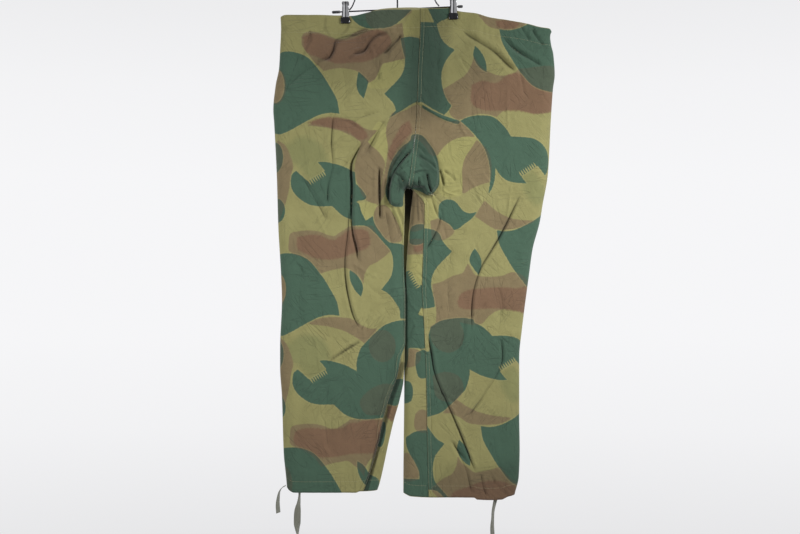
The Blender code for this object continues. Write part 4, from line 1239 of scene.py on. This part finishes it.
def camouflage(name, fade):
    """The printed cotton; fade is how far the ink is washed out or seen from behind."""
    cloth = Finish(name, Roughness=0.88, Sheen_Weight=0.12, Sheen_Roughness=0.5, Specular_IOR_Level=0.25)
    where = cloth.add("ShaderNodeUVMap", {"uv_map": "cloth"}, {})
    keys = "green brown khaki light comb_along comb_over worn shade wash".split()
    ink = {key: cloth.attribute(key) for key in keys}
    passed, over = ink["comb_along"], ink["comb_over"]
    ragged = cloth.noise(where, 210.0, 3.0, 0.6) - 0.5
    brushed = cloth.noise(cloth.stretched(where, 1.0, 0.35, 1.0), 420.0, 2.0, 0.7) - 0.5
    spike = cloth.math("ABSOLUTE", cloth.math("FRACT", passed * (1 / COMB_PITCH)) - 0.5) * 2
    slender = cloth.math("MINIMUM", 0.95 - over * 0.082, COMB_THICK)
    teeth = soft_edge(slender - spike, 0.1) * soft_edge(passed - 0.4, 0.6)
    teeth = teeth * soft_edge(COMB_LONG - passed, 0.6) * soft_edge(over + 0.6, 0.6)
    green = soft_edge(ink["green"] + ragged * 2.6, 1.5) * (1 - teeth)
    brown = soft_edge(ink["brown"] + ragged * 6.0 + brushed * 7.0, 4.5)
    khaki = soft_edge(ink["khaki"] + ragged * 3.2, 1.6)
    light = soft_edge(ink["light"] + ragged * 3.0 + brushed * 2.0, 1.8)
    patchy = cloth.noise(where, 18.0, 3.0, 0.55)
    streaks = cloth.noise(cloth.stretched(where, 1.0, 0.12, 1.0), 90.0, 3.0, 0.6)
    ground = cloth.blend(patchy, *DYES["olive"])
    ground = cloth.blend(light * 0.85, ground, LIGHT)
    dry = soft_edge(ink["wash"] + brushed * 16.0 + ragged * 8.0, 12.0)
    ground = cloth.blend(dry * 0.5, ground, WASH)
    ground = cloth.blend(khaki, ground, cloth.blend(patchy, *DYES["khaki"]))
    ground = cloth.blend(brown * 0.9, ground, cloth.blend(patchy, *DYES["brown"]))
    rim = soft_edge(ink["green"] + 2.2, 1.2) * (1 - green) * 0.22
    ground = cloth.blend(rim, ground, RIM)
    colour = cloth.blend(green * (0.97 - fade), ground, cloth.blend(khaki * 0.8, *DYES["green"]))
    grain = cloth.noise(cloth.stretched(where, 1.0, 0.18, 1.0), 1500.0, 2.0, 0.7)
    grain = (grain + cloth.noise(cloth.stretched(where, 0.18, 1.0, 1.0), 1500.0, 2.0, 0.7)) * 0.5
    # a random tone of uneven wear over the cloth
    worn = cloth.noise(where, 45.0, 4.0, 0.6)
    pressed = pressed_creases(cloth, where)
    tone = 0.76 + grain * 0.22 + worn * 0.14 + streaks * 0.12
    # painted shade: darker along each crease's line, in the fine pressed creases and under the painted fold
    # shadows
    tone = tone * (1 - (ink["worn"] * (1 / 1.5)).clamped() * 0.5)
    tone = tone * (1 - pressed * 0.13) * (1 - ink["shade"] * 0.93)
    shade = cloth.add("ShaderNodeCombineXYZ", {}, {0: tone, 1: tone, 2: tone})
    colour = cloth.blend(1.0, colour, shade, how="MULTIPLY")
    if fade:
        colour = cloth.blend(fade, colour, FADED)
    crushed = cloth.bump(1 - pressed, 0.0009, 0.8, normal=weave_bump(cloth, where, grain))
    return cloth.feed(Base_Color=colour, Normal=crushed)


printed_face = camouflage("camouflage_face", 0.0)
printed_reverse = camouflage("camouflage_reverse", 0.45)

# ---------------------------------------------------------------------------
# Panels: two fronts and two backs, each one wall of cotton under a millimetre thick
# from the waist's edge to the hem's, printed outside and paler on its reverse.
# ---------------------------------------------------------------------------
crotch_row = TRUNK - 1
cut = {}
for name, cloth in panels.items():
    share = np.linspace(0, 1, COLUMNS + 1)
    outer, out, flat = cloth.strip(cloth.columns(share))
    seam = -1 if name in ("front_left", "back_right") else 0
    out[crotch_row, seam] = (0, 0, -1)
    cut[name] = (outer, out, flat)
    behind = CLOTH + 1.2 * set_back(outer, out, 2)[..., None]
    vertices, faces, inner = shell(outer, outer - out * behind, coarse=2)
    piece = add_mesh(f"{name}_cloth", vertices, faces, printed_face)
    piece.data.materials.append(printed_reverse)
    flat = np.concatenate([flat.reshape(-1, 2), flat[::2, ::2].reshape(-1, 2)])
    print_on(piece, name, flat, painted_fold_shade(outer, out))
    reverse = [int(min(face) >= inner) for face in faces]
    piece.data.polygons.foreach_set("material_index", reverse)
    hang(piece, f"panel_{name}")

# ---------------------------------------------------------------------------
# Casings: the waist's and the hems' edges are turned in over themselves, so that each
# edge is a rolled fold, and the turned cloth lies flat behind the panel.
# ---------------------------------------------------------------------------
ROLL_STEPS = 5
TURNED_THICK = 0.9
TURNED_BEHIND = CLOTH + 2 * SEAM_GAP


def turned_edge(name, parts, rows, edge, closed_round=False):
    """A casing from neighbouring panels' points: rolled over at the edge row, then flat."""
    columns = [slice(0, -1)] * (len(parts) - 1) + [slice(0, -1) if closed_round else slice(None)]
    outer, out, flat = (
        np.concatenate([cut[part][k][rows][:, own] for part, own in zip(parts, columns)], axis=1)
        for k in range(3)
    )
    if edge == "hem":
        outer, out, flat = outer[::-1], out[::-1], flat[::-1]
    beyond = unit(outer[:1] - outer[1:2])
    behind = TURNED_BEHIND + TURNED_THICK
    centre = outer[:1] - out[:1] * behind / 2
    turn = np.linspace(0, math.pi, ROLL_STEPS)[:, None, None]
    rounds = out[:1] * np.cos(turn) + beyond * np.sin(turn)
    near = np.concatenate([centre + rounds * behind / 2, outer[1:] - out[1:] * behind])
    inside = outer[1:] - out[1:] * TURNED_BEHIND
    far = np.concatenate([centre + rounds * (behind / 2 - TURNED_THICK), inside])
    flat = np.concatenate([np.repeat(flat[:1], ROLL_STEPS, axis=0), flat[1:]])
    if edge == "waist":
        near, far, flat = near[:, ::-1], far[:, ::-1], flat[:, ::-1]
    vertices, faces, inner = shell(near, far, closed_round)
    piece = add_mesh(name + "_cloth", vertices, faces, printed_reverse)
    piece.data.materials.append(printed_face)
    print_on(piece, parts[0], np.concatenate([flat.reshape(-1, 2)] * 2))
    rolled = np.zeros(len(piece.data.polygons), np.int32)
    rolled[: (near.shape[1] - (not closed_round)) * (ROLL_STEPS - 1)] = 1
    piece.data.polygons.foreach_set("material_index", rolled)
    hang(piece, name)


waist_rows = slice(0, int(np.searchsorted(ROWS, WAIST + WAIST_CASING)) + 1)
hem_rows = slice(int(np.searchsorted(ROWS, HEM - HEM_CASING)) - 1, None)
turned_edge("waist_casing_front", ["front_left", "front_right"], waist_rows, "waist")
turned_edge("waist_casing_back", ["back_right", "back_left"], waist_rows, "waist")
turned_edge("hem_casing_left", ["front_left", "back_left"], hem_rows, "hem", closed_round=True)
turned_edge("hem_casing_right", ["front_right", "back_right"], hem_rows, "hem", closed_round=True)

# ---------------------------------------------------------------------------
# Felled seams: at each seam one edge is folded over the other and stitched down as
# a narrow welt, printed with the panel it lies on.
# ---------------------------------------------------------------------------
FELL_PROFILE = [(0, 0.3), (0.25, 0.8), (1.2, 1.05), (4.5, 1.15), (7.8, 1.05), (8.75, 0.8), (9, 0.3)]
whole_rows, trunk_only, legs_only = slice(0, None), slice(0, TRUNK), slice(TRUNK + 1, None)
FELLS = {
    "fell_front": ("front_right", 1, trunk_only),
    "fell_back": ("back_left", 1, trunk_only),
    "fell_inseam_right": ("front_right", 1, legs_only),
    "fell_inseam_left": ("front_left", -1, legs_only),
    "fell_side_left": ("back_left", -1, whole_rows),
    "fell_side_right": ("back_right", 1, whole_rows),
}
fell_lines = {}
for name, (panel, inward, rows) in FELLS.items():
    cloth = panels[panel]
    profile = np.array(FELL_PROFILE if inward > 0 else [(-a, b) for a, b in FELL_PROFILE[::-1]])
    where = (cloth.start if inward > 0 else cloth.end)[:, None] + profile[:, 0]
    base, out, flat = (grid[rows] for grid in cloth.strip(where))
    top = base + out * profile[:, 1, None]
    vertices, faces, _ = shell(top, base + out * 0.05)
    piece = add_mesh(f"{name}_welt", vertices, faces, printed_face)
    print_on(piece, panel, np.concatenate([flat.reshape(-1, 2)] * 2), painted_fold_shade(top, out))
    hang(piece, name)
    fell_lines[name] = [(top[:, k], out[:, k]) for k in (2, 4)]

# ---------------------------------------------------------------------------
# Stitches: khaki thread in lockstitch, one row round each casing's inner edge and
# two rows along each felled seam.
# ---------------------------------------------------------------------------
STITCH_LONG, STITCH_STEP, THREAD, THREAD_SUNK = 2.4, 3.2, 0.24, 0.1
STITCH_SHARES = (-0.5, -0.3, 0.3, 0.5)


def thread_finish():
    thread = Finish("khaki_thread", Roughness=0.7)
    where = thread.add("ShaderNodeTexCoord", {}, {}, output=3)
    strands = thread.noise(where, 900.0, 2.0)
    colour = thread.blend(strands, srgb(126, 122, 92), srgb(160, 155, 120))
    return thread.feed(Base_Color=colour, Normal=thread.bump(strands, 0.0002, 0.6))


khaki_thread = thread_finish()


def sew(name, lines):
    """Rows of stitches along lines of (points, outward directions) as one mesh."""
    vertices, faces = [], []
    for points, out in lines:
        run = passed_along(points)
        centres = np.arange(STITCH_STEP, run[-1] - STITCH_STEP, STITCH_STEP)
        for centre in centres:
            spots = [centre + STITCH_LONG * share for share in STITCH_SHARES]
            place = np.stack([np.interp(spots, run, points[:, k]) for k in range(3)], axis=1)
            up = unit(np.array([np.interp(centre, run, out[:, k]) for k in range(3)]))
            aside = unit(np.cross(place[-1] - place[0], up))
            first = len(vertices)
            vertices.append(place[0] - up * THREAD_SUNK)
            for spot in place[1:3]:
                vertices += [spot + THREAD * way for way in (aside, up, -aside, -up)]
            vertices.append(place[3] - up * THREAD_SUNK)
            for j in range(4):
                a, b = first + 1 + j, first + 1 + (j + 1) % 4
                faces += [(first, b, a), (a, b, b + 4, a + 4), (first + 9, a + 4, b + 4)]
    piece = add_mesh(name, np.array(vertices) * MM, faces, khaki_thread)
    hang(piece)


def row_line(names, row):
    """A stitch line along one row of neighbouring panels."""
    points = np.concatenate([cut[name][0][row] for name in names])
    out = np.concatenate([cut[name][1][row] for name in names])
    return points + out * THREAD_SUNK, out


casing_row = waist_rows.stop - 1
sew("stitches_waist_front", [row_line(["front_left", "front_right"], casing_row)])
sew("stitches_waist_back", [row_line(["back_right", "back_left"], casing_row)])
for side in ("left", "right"):
    sew(f"stitches_hem_{side}", [row_line([f"front_{side}", f"back_{side}"], hem_rows.start)])
for name, lines in fell_lines.items():
    sew(name.replace("fell", "stitches"), lines)

for name, (outer, _, _) in cut.items():
    face, side = name.split("_")
    fells = [fell for fell, (panel, _, _) in FELLS.items() if panel == name]
    sewn_on = [f"{fell}_welt" for fell in fells] + [fell.replace("fell", "stitches") for fell in fells]

# ---------------------------------------------------------------------------
# Hem tapes: flat woven cotton tape that runs through each hem's casing and hangs out
# of it, twisting. Two ends hang at the viewer's left, one at the right.
# ---------------------------------------------------------------------------
TAPE_WIDE, TAPE_THICK = 15.0, 1.3
TAPES = {
    "tape_left_long": table("across back down turn", """
        -215,-0.5,1048,70 -215,-0.5,1062,78 -216,-1,1079,62 -219,-2,1097,25 -220,-3,1120,5
        -220,-3,1137,55 -219,-3,1154,85 -218,-2.5,1176,50 -219,-2,1198,15 -221,-1,1216,5"""),
    "tape_left_short": table("across back down turn", """
        -245.6,-1,1047,84 -252,-1.5,1050.5,84 -258,-2,1058,78 -261,-2,1067,70 -262.5,-2,1077,64
        -262.7,-2,1090,60 -262,-2,1107,60"""),
    "tape_right": table("across back down turn", """
        217,-2,1061,50 216,-2,1076,52 213,-2.5,1090,58 210,-3,1104,62 209,-3,1120,55 208.5,-3,1134,50
        209,-2.5,1154,55 210,-2,1178,30 209,-1,1200,15 208,0,1220,5"""),
}  # fmt: skip


def tube_faces(rows, n):
    """The two ends and the sides of a tube from rings of n points."""
    faces = [tuple(range(n))[::-1], tuple(range((rows - 1) * n, rows * n))]
    for i in range(rows - 1):
        ring, after = i * n, (i + 1) * n
        faces += [(ring + j, ring + (j + 1) % n, after + (j + 1) % n, after + j) for j in range(n)]
    return faces


def tape_finish():
    tape = Finish("woven_tape", Roughness=0.85, Sheen_Weight=0.15)
    where = tape.add("ShaderNodeUVMap", {"uv_map": "cloth"}, {})
    over_it, along_it = tape.parts(where)
    off_middle = tape.math("ABSOLUTE", over_it)
    slant, ribs = tape.wave(along_it + off_middle, 0.0016), tape.wave(over_it, 0.0011)
    mottle = tape.noise(where, 260.0, 3.0, 0.6)
    colour = tape.blend(mottle, srgb(90, 91, 81), srgb(113, 113, 100))
    selvedge = tape.math("GREATER_THAN", off_middle, 0.0062)
    colour = tape.blend(selvedge * 0.5, colour, srgb(82, 84, 75))
    return tape.feed(Base_Color=colour, Normal=tape.bump(slant + ribs * 0.6, 0.00022, 0.8))


woven_tape = tape_finish()
for name, route in TAPES.items():
    steps = 140 if len(route["across"]) > 7 else 70
    knots = np.stack([route["across"], route["back"], -BAR_DROP - route["down"]], axis=1)
    line = curve_through(knots, steps)
    share = np.linspace(0, len(knots) - 1, steps)
    turns = {"at": np.arange(len(knots)), "turn": route["turn"]}
    angle = np.radians(smooth(turns, share, "at", "turn"))
    ahead = unit(np.gradient(line, axis=0))
    wide = np.stack([np.cos(angle), np.sin(angle), np.zeros(steps)], axis=1)
    wide = unit(wide - ahead * (wide * ahead).sum(axis=1, keepdims=True))
    thick = np.cross(ahead, wide)
    rim = np.linspace(-1, 1, 9)
    edge = np.abs(rim)
    half = TAPE_THICK / 2 * np.where(edge > 0.99, 0.35, np.where(edge > 0.7, 1.0, 0.86))
    ring = list(zip(rim, -half)) + list(zip(rim[::-1], half[::-1]))
    cupped = 0.5 * np.cos(share * 2.1)
    rows = [line + wide * a * TAPE_WIDE / 2 + thick * (b + cupped * (a * a - 0.4))[:, None] for a, b in ring]
    vertices = np.stack(rows, axis=1).reshape(-1, 3) * MM
    piece = add_mesh(f"{name}_woven", vertices, tube_faces(steps, len(ring)), woven_tape)
    run = passed_along(line)
    flat = np.stack(np.meshgrid([a * TAPE_WIDE / 2 for a, _ in ring], run), axis=-1).reshape(-1, 2)
    lay_flat(piece.data, flat)
    hang(piece, name)
    name == "tape_left_short"  # fmt: skip

# ---------------------------------------------------------------------------
# Hanger: one bar through both clips, a bow whose ends are welded to it and a hook
# on its stem, all of bright chromed wire; the bar's ends carry dark plastic tips.
# ---------------------------------------------------------------------------
BAR_HALF, BAR_TILT, BAR_RADIUS, TIP_LONG = 144.0, 0.045, 1.6, (18.0, 11.0)
BOW_RADIUS, BOW_RISE = 1.5, 68.0
HOOK_RADIUS, HOOK_INSIDE = 1.8, 20.0
WIRE_SIDES = 20


def chrome_finish(name, dull, dark, light):
    """Chromed steel between two colours, with painted shade at its hollows and edges and painted
    highlights on its ribs, where a piece stores them.
    """
    chrome = Finish(name, Metallic=1.0)
    where = chrome.add("ShaderNodeTexCoord", {}, {}, output=3)
    drawn = chrome.noise(chrome.stretched(where, 60.0, 60.0, 900.0), 3.0, 3.0, 0.6)
    spots = chrome.noise(where, 160.0, 3.0, 0.6)
    colour = chrome.blend((chrome.attribute("rib") + spots * 0.3 - 0.15).clamped(), dark, light)
    scratched = chrome.bump(drawn, 0.00004, 0.5)
    return chrome.feed(Base_Color=colour, Roughness=dull + drawn * 0.10, Normal=scratched)


def wire(name, line, radius, material, ends=(0.0, 0.0), swollen=0.0):
    """A round wire along a line; each end is domed or cut flat, and may carry a thicker tip."""
    line = np.asarray(line, float)
    ahead = unit(np.gradient(line, axis=0))
    side = unit(np.cross(ahead, (0, 1, 0)))
    up = np.cross(side, ahead)
    radii = np.full(len(line), float(radius))
    if swollen:
        inset = np.minimum(*(np.linalg.norm(line - end, axis=1) for end in (line[0], line[-1])))
        on_tip = inset < np.where(line[:, 0] < 0, *TIP_LONG)
        radii += swollen * np.sqrt(np.clip(inset / 2.5, 0.04, 1)) * on_tip
    for at, dome in ((0, ends[0]), (-1, ends[1])):
        if dome:
            radii[at] = radius * 0.55
    turn = np.linspace(0, 2 * math.pi, WIRE_SIDES + 1)[:-1]
    rings = [line + radii[:, None] * (side * math.cos(a) + up * math.sin(a)) for a in turn]
    vertices = np.stack(rings, axis=1).reshape(-1, 3)
    faces = [face[::-1] for face in tube_faces(len(line), WIRE_SIDES)]
    return add_mesh(name, vertices * MM, faces, material)


def bar_down(across):
    return -BAR_TILT * across


def bar_point(across, rise=0.0):
    return (across, 0.0, -BAR_DROP - bar_down(across) + rise)


bright_wire = chrome_finish("bright_chromed_wire", 0.16, srgb(48, 49, 53), srgb(150, 150, 155))
dark_tip = Finish("dark_bar_tip", Base_Color=(*srgb(40, 41, 43), 1), Roughness=0.42).material
tip_steps = [np.array([0, 0.3, 0.8, 1.6, 2.6, long - 0.4, long + 0.01]) for long in TIP_LONG]
between = np.linspace(-BAR_HALF + 20, BAR_HALF - 13, 60)
reach = np.concatenate([-BAR_HALF + tip_steps[0], between, BAR_HALF - tip_steps[1][::-1]])
bar_line = [bar_point(x) for x in reach]
bar = wire("hanger_bar_wire", bar_line, BAR_RADIUS, bright_wire, ends=(1, 1), swollen=1.5)
bar.data.materials.append(dark_tip)
for face in bar.data.polygons:
    face.material_index = int(not TIP_LONG[0] - BAR_HALF < face.center.x / MM < BAR_HALF - TIP_LONG[1])
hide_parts("hanger_bar")
hanger_pieces = [bar]
clear = BAR_RADIUS + BOW_RADIUS / 2 + SEAM_GAP
for side, sign, foot in (("left", -1, 106), ("right", 1, 92)):
    shape = [(foot, clear), (foot - 6, 10), (foot - 11, 21), (foot - 19, 41), (foot - 42, 59)]
    shape += [(0.34 * foot, BOW_RISE - 0.8), (HOOK_RADIUS + 3 * SEAM_GAP, BOW_RISE)]
    arch = curve_through([bar_point(sign * x, rise=rise) for x, rise in shape], 90)
    bow = wire(f"hanger_bow_{side}_wire", arch, BOW_RADIUS, bright_wire, ends=(1, 0))
    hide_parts(f"hanger_bow_{side}")
    hanger_pieces.append(bow)
hook_line = HOOK_INSIDE + HOOK_RADIUS
turn = np.radians(np.linspace(-52, 205, 26))
loop = [(hook_line * math.cos(a), 0, -HOOK_INSIDE + hook_line * math.sin(a)) for a in turn]
stem = [(0, 0, -BAR_DROP + BAR_RADIUS + SEAM_GAP), (0, 0, -90), (0, 0, -58), (3, 0, -47)]
hook = wire("hanger_hook_wire", curve_through(stem + loop, 170), HOOK_RADIUS, bright_wire, ends=(1, 1))
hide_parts("hanger_hook")
for piece in hanger_pieces + [hook]:
    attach(piece, "root")

# ---------------------------------------------------------------------------
# Clips: a band of spring steel bent over the bar, a pressed jaw with two soft ribs
# and a bent finger grip on each side of it, and a black rubber tip on each jaw.
# ---------------------------------------------------------------------------
CLIP_WIDE, TIP_WIDE, TIP_THICK, SPRING_WIDE = 16.0, 20.8, 4.0, 9.0
JAW_DEEP, JAW_THICK, LOOP_TALL = 3.2, 1.0, 21.0
JAW_RIDGE, TIP_RIDGE, TIP_SLIM = 0.55, 0.6, 0.98 * TIP_THICK
SPRING_THICK, SPRING_HALF_TALL, SPRING_CLEAR = 0.8, 7.0, 0.4
# painted highlights and shade across a jaw: how bright it is painted from one edge to the other
JAW_PAINTED_LIGHT = [(-1, -0.75, -0.6, -0.25, -0.12, 0.05, 0.2, 0.85, 1), (0, 0.05, 1, 1, 0.05, 0.0, 0.5, 0.5, 0)]


def plate(name, centre, thick, widths, material, ridge=0.0, replaced=None):
    """A pressed plate along a line of (back, down), each place as wide as it says,
    with rounded edges and two soft ribs along it."""
    centre, widths = np.asarray(centre, float), np.asarray(widths, float)
    ahead = unit(np.gradient(centre, axis=0))
    out = np.stack([-ahead[:, 1], ahead[:, 0]], axis=1)
    u = np.linspace(-1, 1, 25)
    rounded = np.where(np.abs(u) > 0.9, 0.45, 1.0)
    crown = ridge * np.exp(-(((np.abs(u + 0.05) - 0.48) / 0.26) ** 2))
    ring = [(a, c + k * thick / 2) for a, c, k in zip(u, crown, rounded)]
    ring += [(a, c - k * thick / 2) for a, c, k in zip(u[::-1], crown[::-1], rounded)]
    grid = []
    for (back, down), (ob, od), wide in zip(centre, out, widths):
        grid += [(wide / 2 * a, back + ob * lift, -BAR_DROP - down - od * lift) for a, lift in ring]
    faces = [face[::-1] for face in tube_faces(len(centre), len(ring))]
    piece = add_mesh(name, np.array(grid) * MM, faces, material)
    # painted highlights and shade across the plate, read by the chrome finish
    store(piece.data, "rib", np.interp(np.tile([a for a, _ in ring], len(centre)), *JAW_PAINTED_LIGHT))
    hang(piece, replaced)
    return piece


def rubber_finish():
    rubber = Finish("black_rubber_tip", Specular_IOR_Level=0.1, Coat_Weight=0.3, Coat_Roughness=0.06)
    where = rubber.add("ShaderNodeTexCoord", {}, {}, output=3)
    dust = rubber.noise(where, 700.0, 3.0, 0.6)
    colour = rubber.blend(dust, srgb(9, 9, 11), srgb(24, 24, 27))
    rough, dimpled = 0.4 + dust * 0.2, rubber.bump(dust, 0.0001, 0.5)
    return rubber.feed(Base_Color=colour, Roughness=rough, Normal=dimpled)


# the clips' steel: painted highlights on the ribs and painted shade at the edges and middle
bright_steel = chrome_finish("bright_clip_steel", 0.14, srgb(58, 59, 63), srgb(236, 236, 238))
black_rubber = rubber_finish()
hug = FLAT_PINCH + SEAM_GAP
spring_mid = hug + SPRING_CLEAR + SPRING_THICK / 2
jaw_mid = hug + SPRING_CLEAR + SPRING_THICK + SEAM_GAP + JAW_THICK / 2
over_bar = np.radians(np.linspace(180, 0, 17))
for side, (x, tips) in CLIPS.items():
    bar_at = bar_down(x)
    top, foot = bar_at - SPRING_HALF_TALL, bar_at + SPRING_HALF_TALL
    band = [(-spring_mid, foot), (-spring_mid, (foot + top) / 2)]
    band += [(spring_mid * math.cos(a), top - spring_mid * math.sin(a)) for a in over_bar]
    band += [(spring_mid, (foot + top) / 2), (spring_mid, foot)]
    spring = f"clip_{side}_spring"
    wide = [SPRING_WIDE] * len(band)
    made = [plate(f"{spring}_band", band, SPRING_THICK, wide, bright_steel, replaced=spring)]
    bend, loop_top = bar_at - LOOP_TALL / 2, bar_at - LOOP_TALL
    for face, sign in (("front", -1), ("back", 1)):
        run = [(0, tips - SEAM_GAP), (0, tips - 6), (0, bar_at), (0.1, bend), (1.3, bend - 5)]
        run += [(JAW_DEEP - 0.6, loop_top + 1.6), (JAW_DEEP, loop_top)]
        line = curve_through([(jaw_mid + out, at) for out, at in run], 30)
        share = np.linspace(0, 1, 30)
        widths = CLIP_WIDE * (1 - 0.12 * ease((share - 0.15) / 0.3) + 0.12 * ease((share - 0.75) / 0.2))
        widths = widths * (1 - 0.3 * ease((share - 0.93) / 0.07))
        line = line[::sign] * (sign, 1)
        jaw, tip = f"clip_{side}_jaw_{face}", f"clip_{side}_tip_{face}"
        widths = widths[::sign]
        made.append(plate(f"{jaw}_plate", line, JAW_THICK, widths, bright_steel, JAW_RIDGE, jaw))
        low = tips + TIP_TALL
        mid = hug + TIP_THICK / 2
        run = [(mid, tips + d) for d in (0, 0.4, 1.2, 4)] + [(mid, low - 4)]
        run += [(mid - 0.3, low - 1.6), (mid - 0.6, low - 0.5), (mid - 0.8, low)]
        line = np.array(run)[::-sign] * (sign, 1)
        widths = TIP_WIDE * np.array([0.94, 0.98, 1, 1, 1, 0.99, 0.96, 0.9])[::-sign]
        pad = plate(f"{tip}_pad", line, TIP_SLIM, widths, black_rubber, TIP_RIDGE, tip)
        made.append(pad)
    for piece in made:
        spots = np.empty(len(piece.data.vertices) * 3, np.float32)
        piece.data.vertices.foreach_get("co", spots)
        spots[::3] += x * MM
        piece.data.vertices.foreach_set("co", spots)
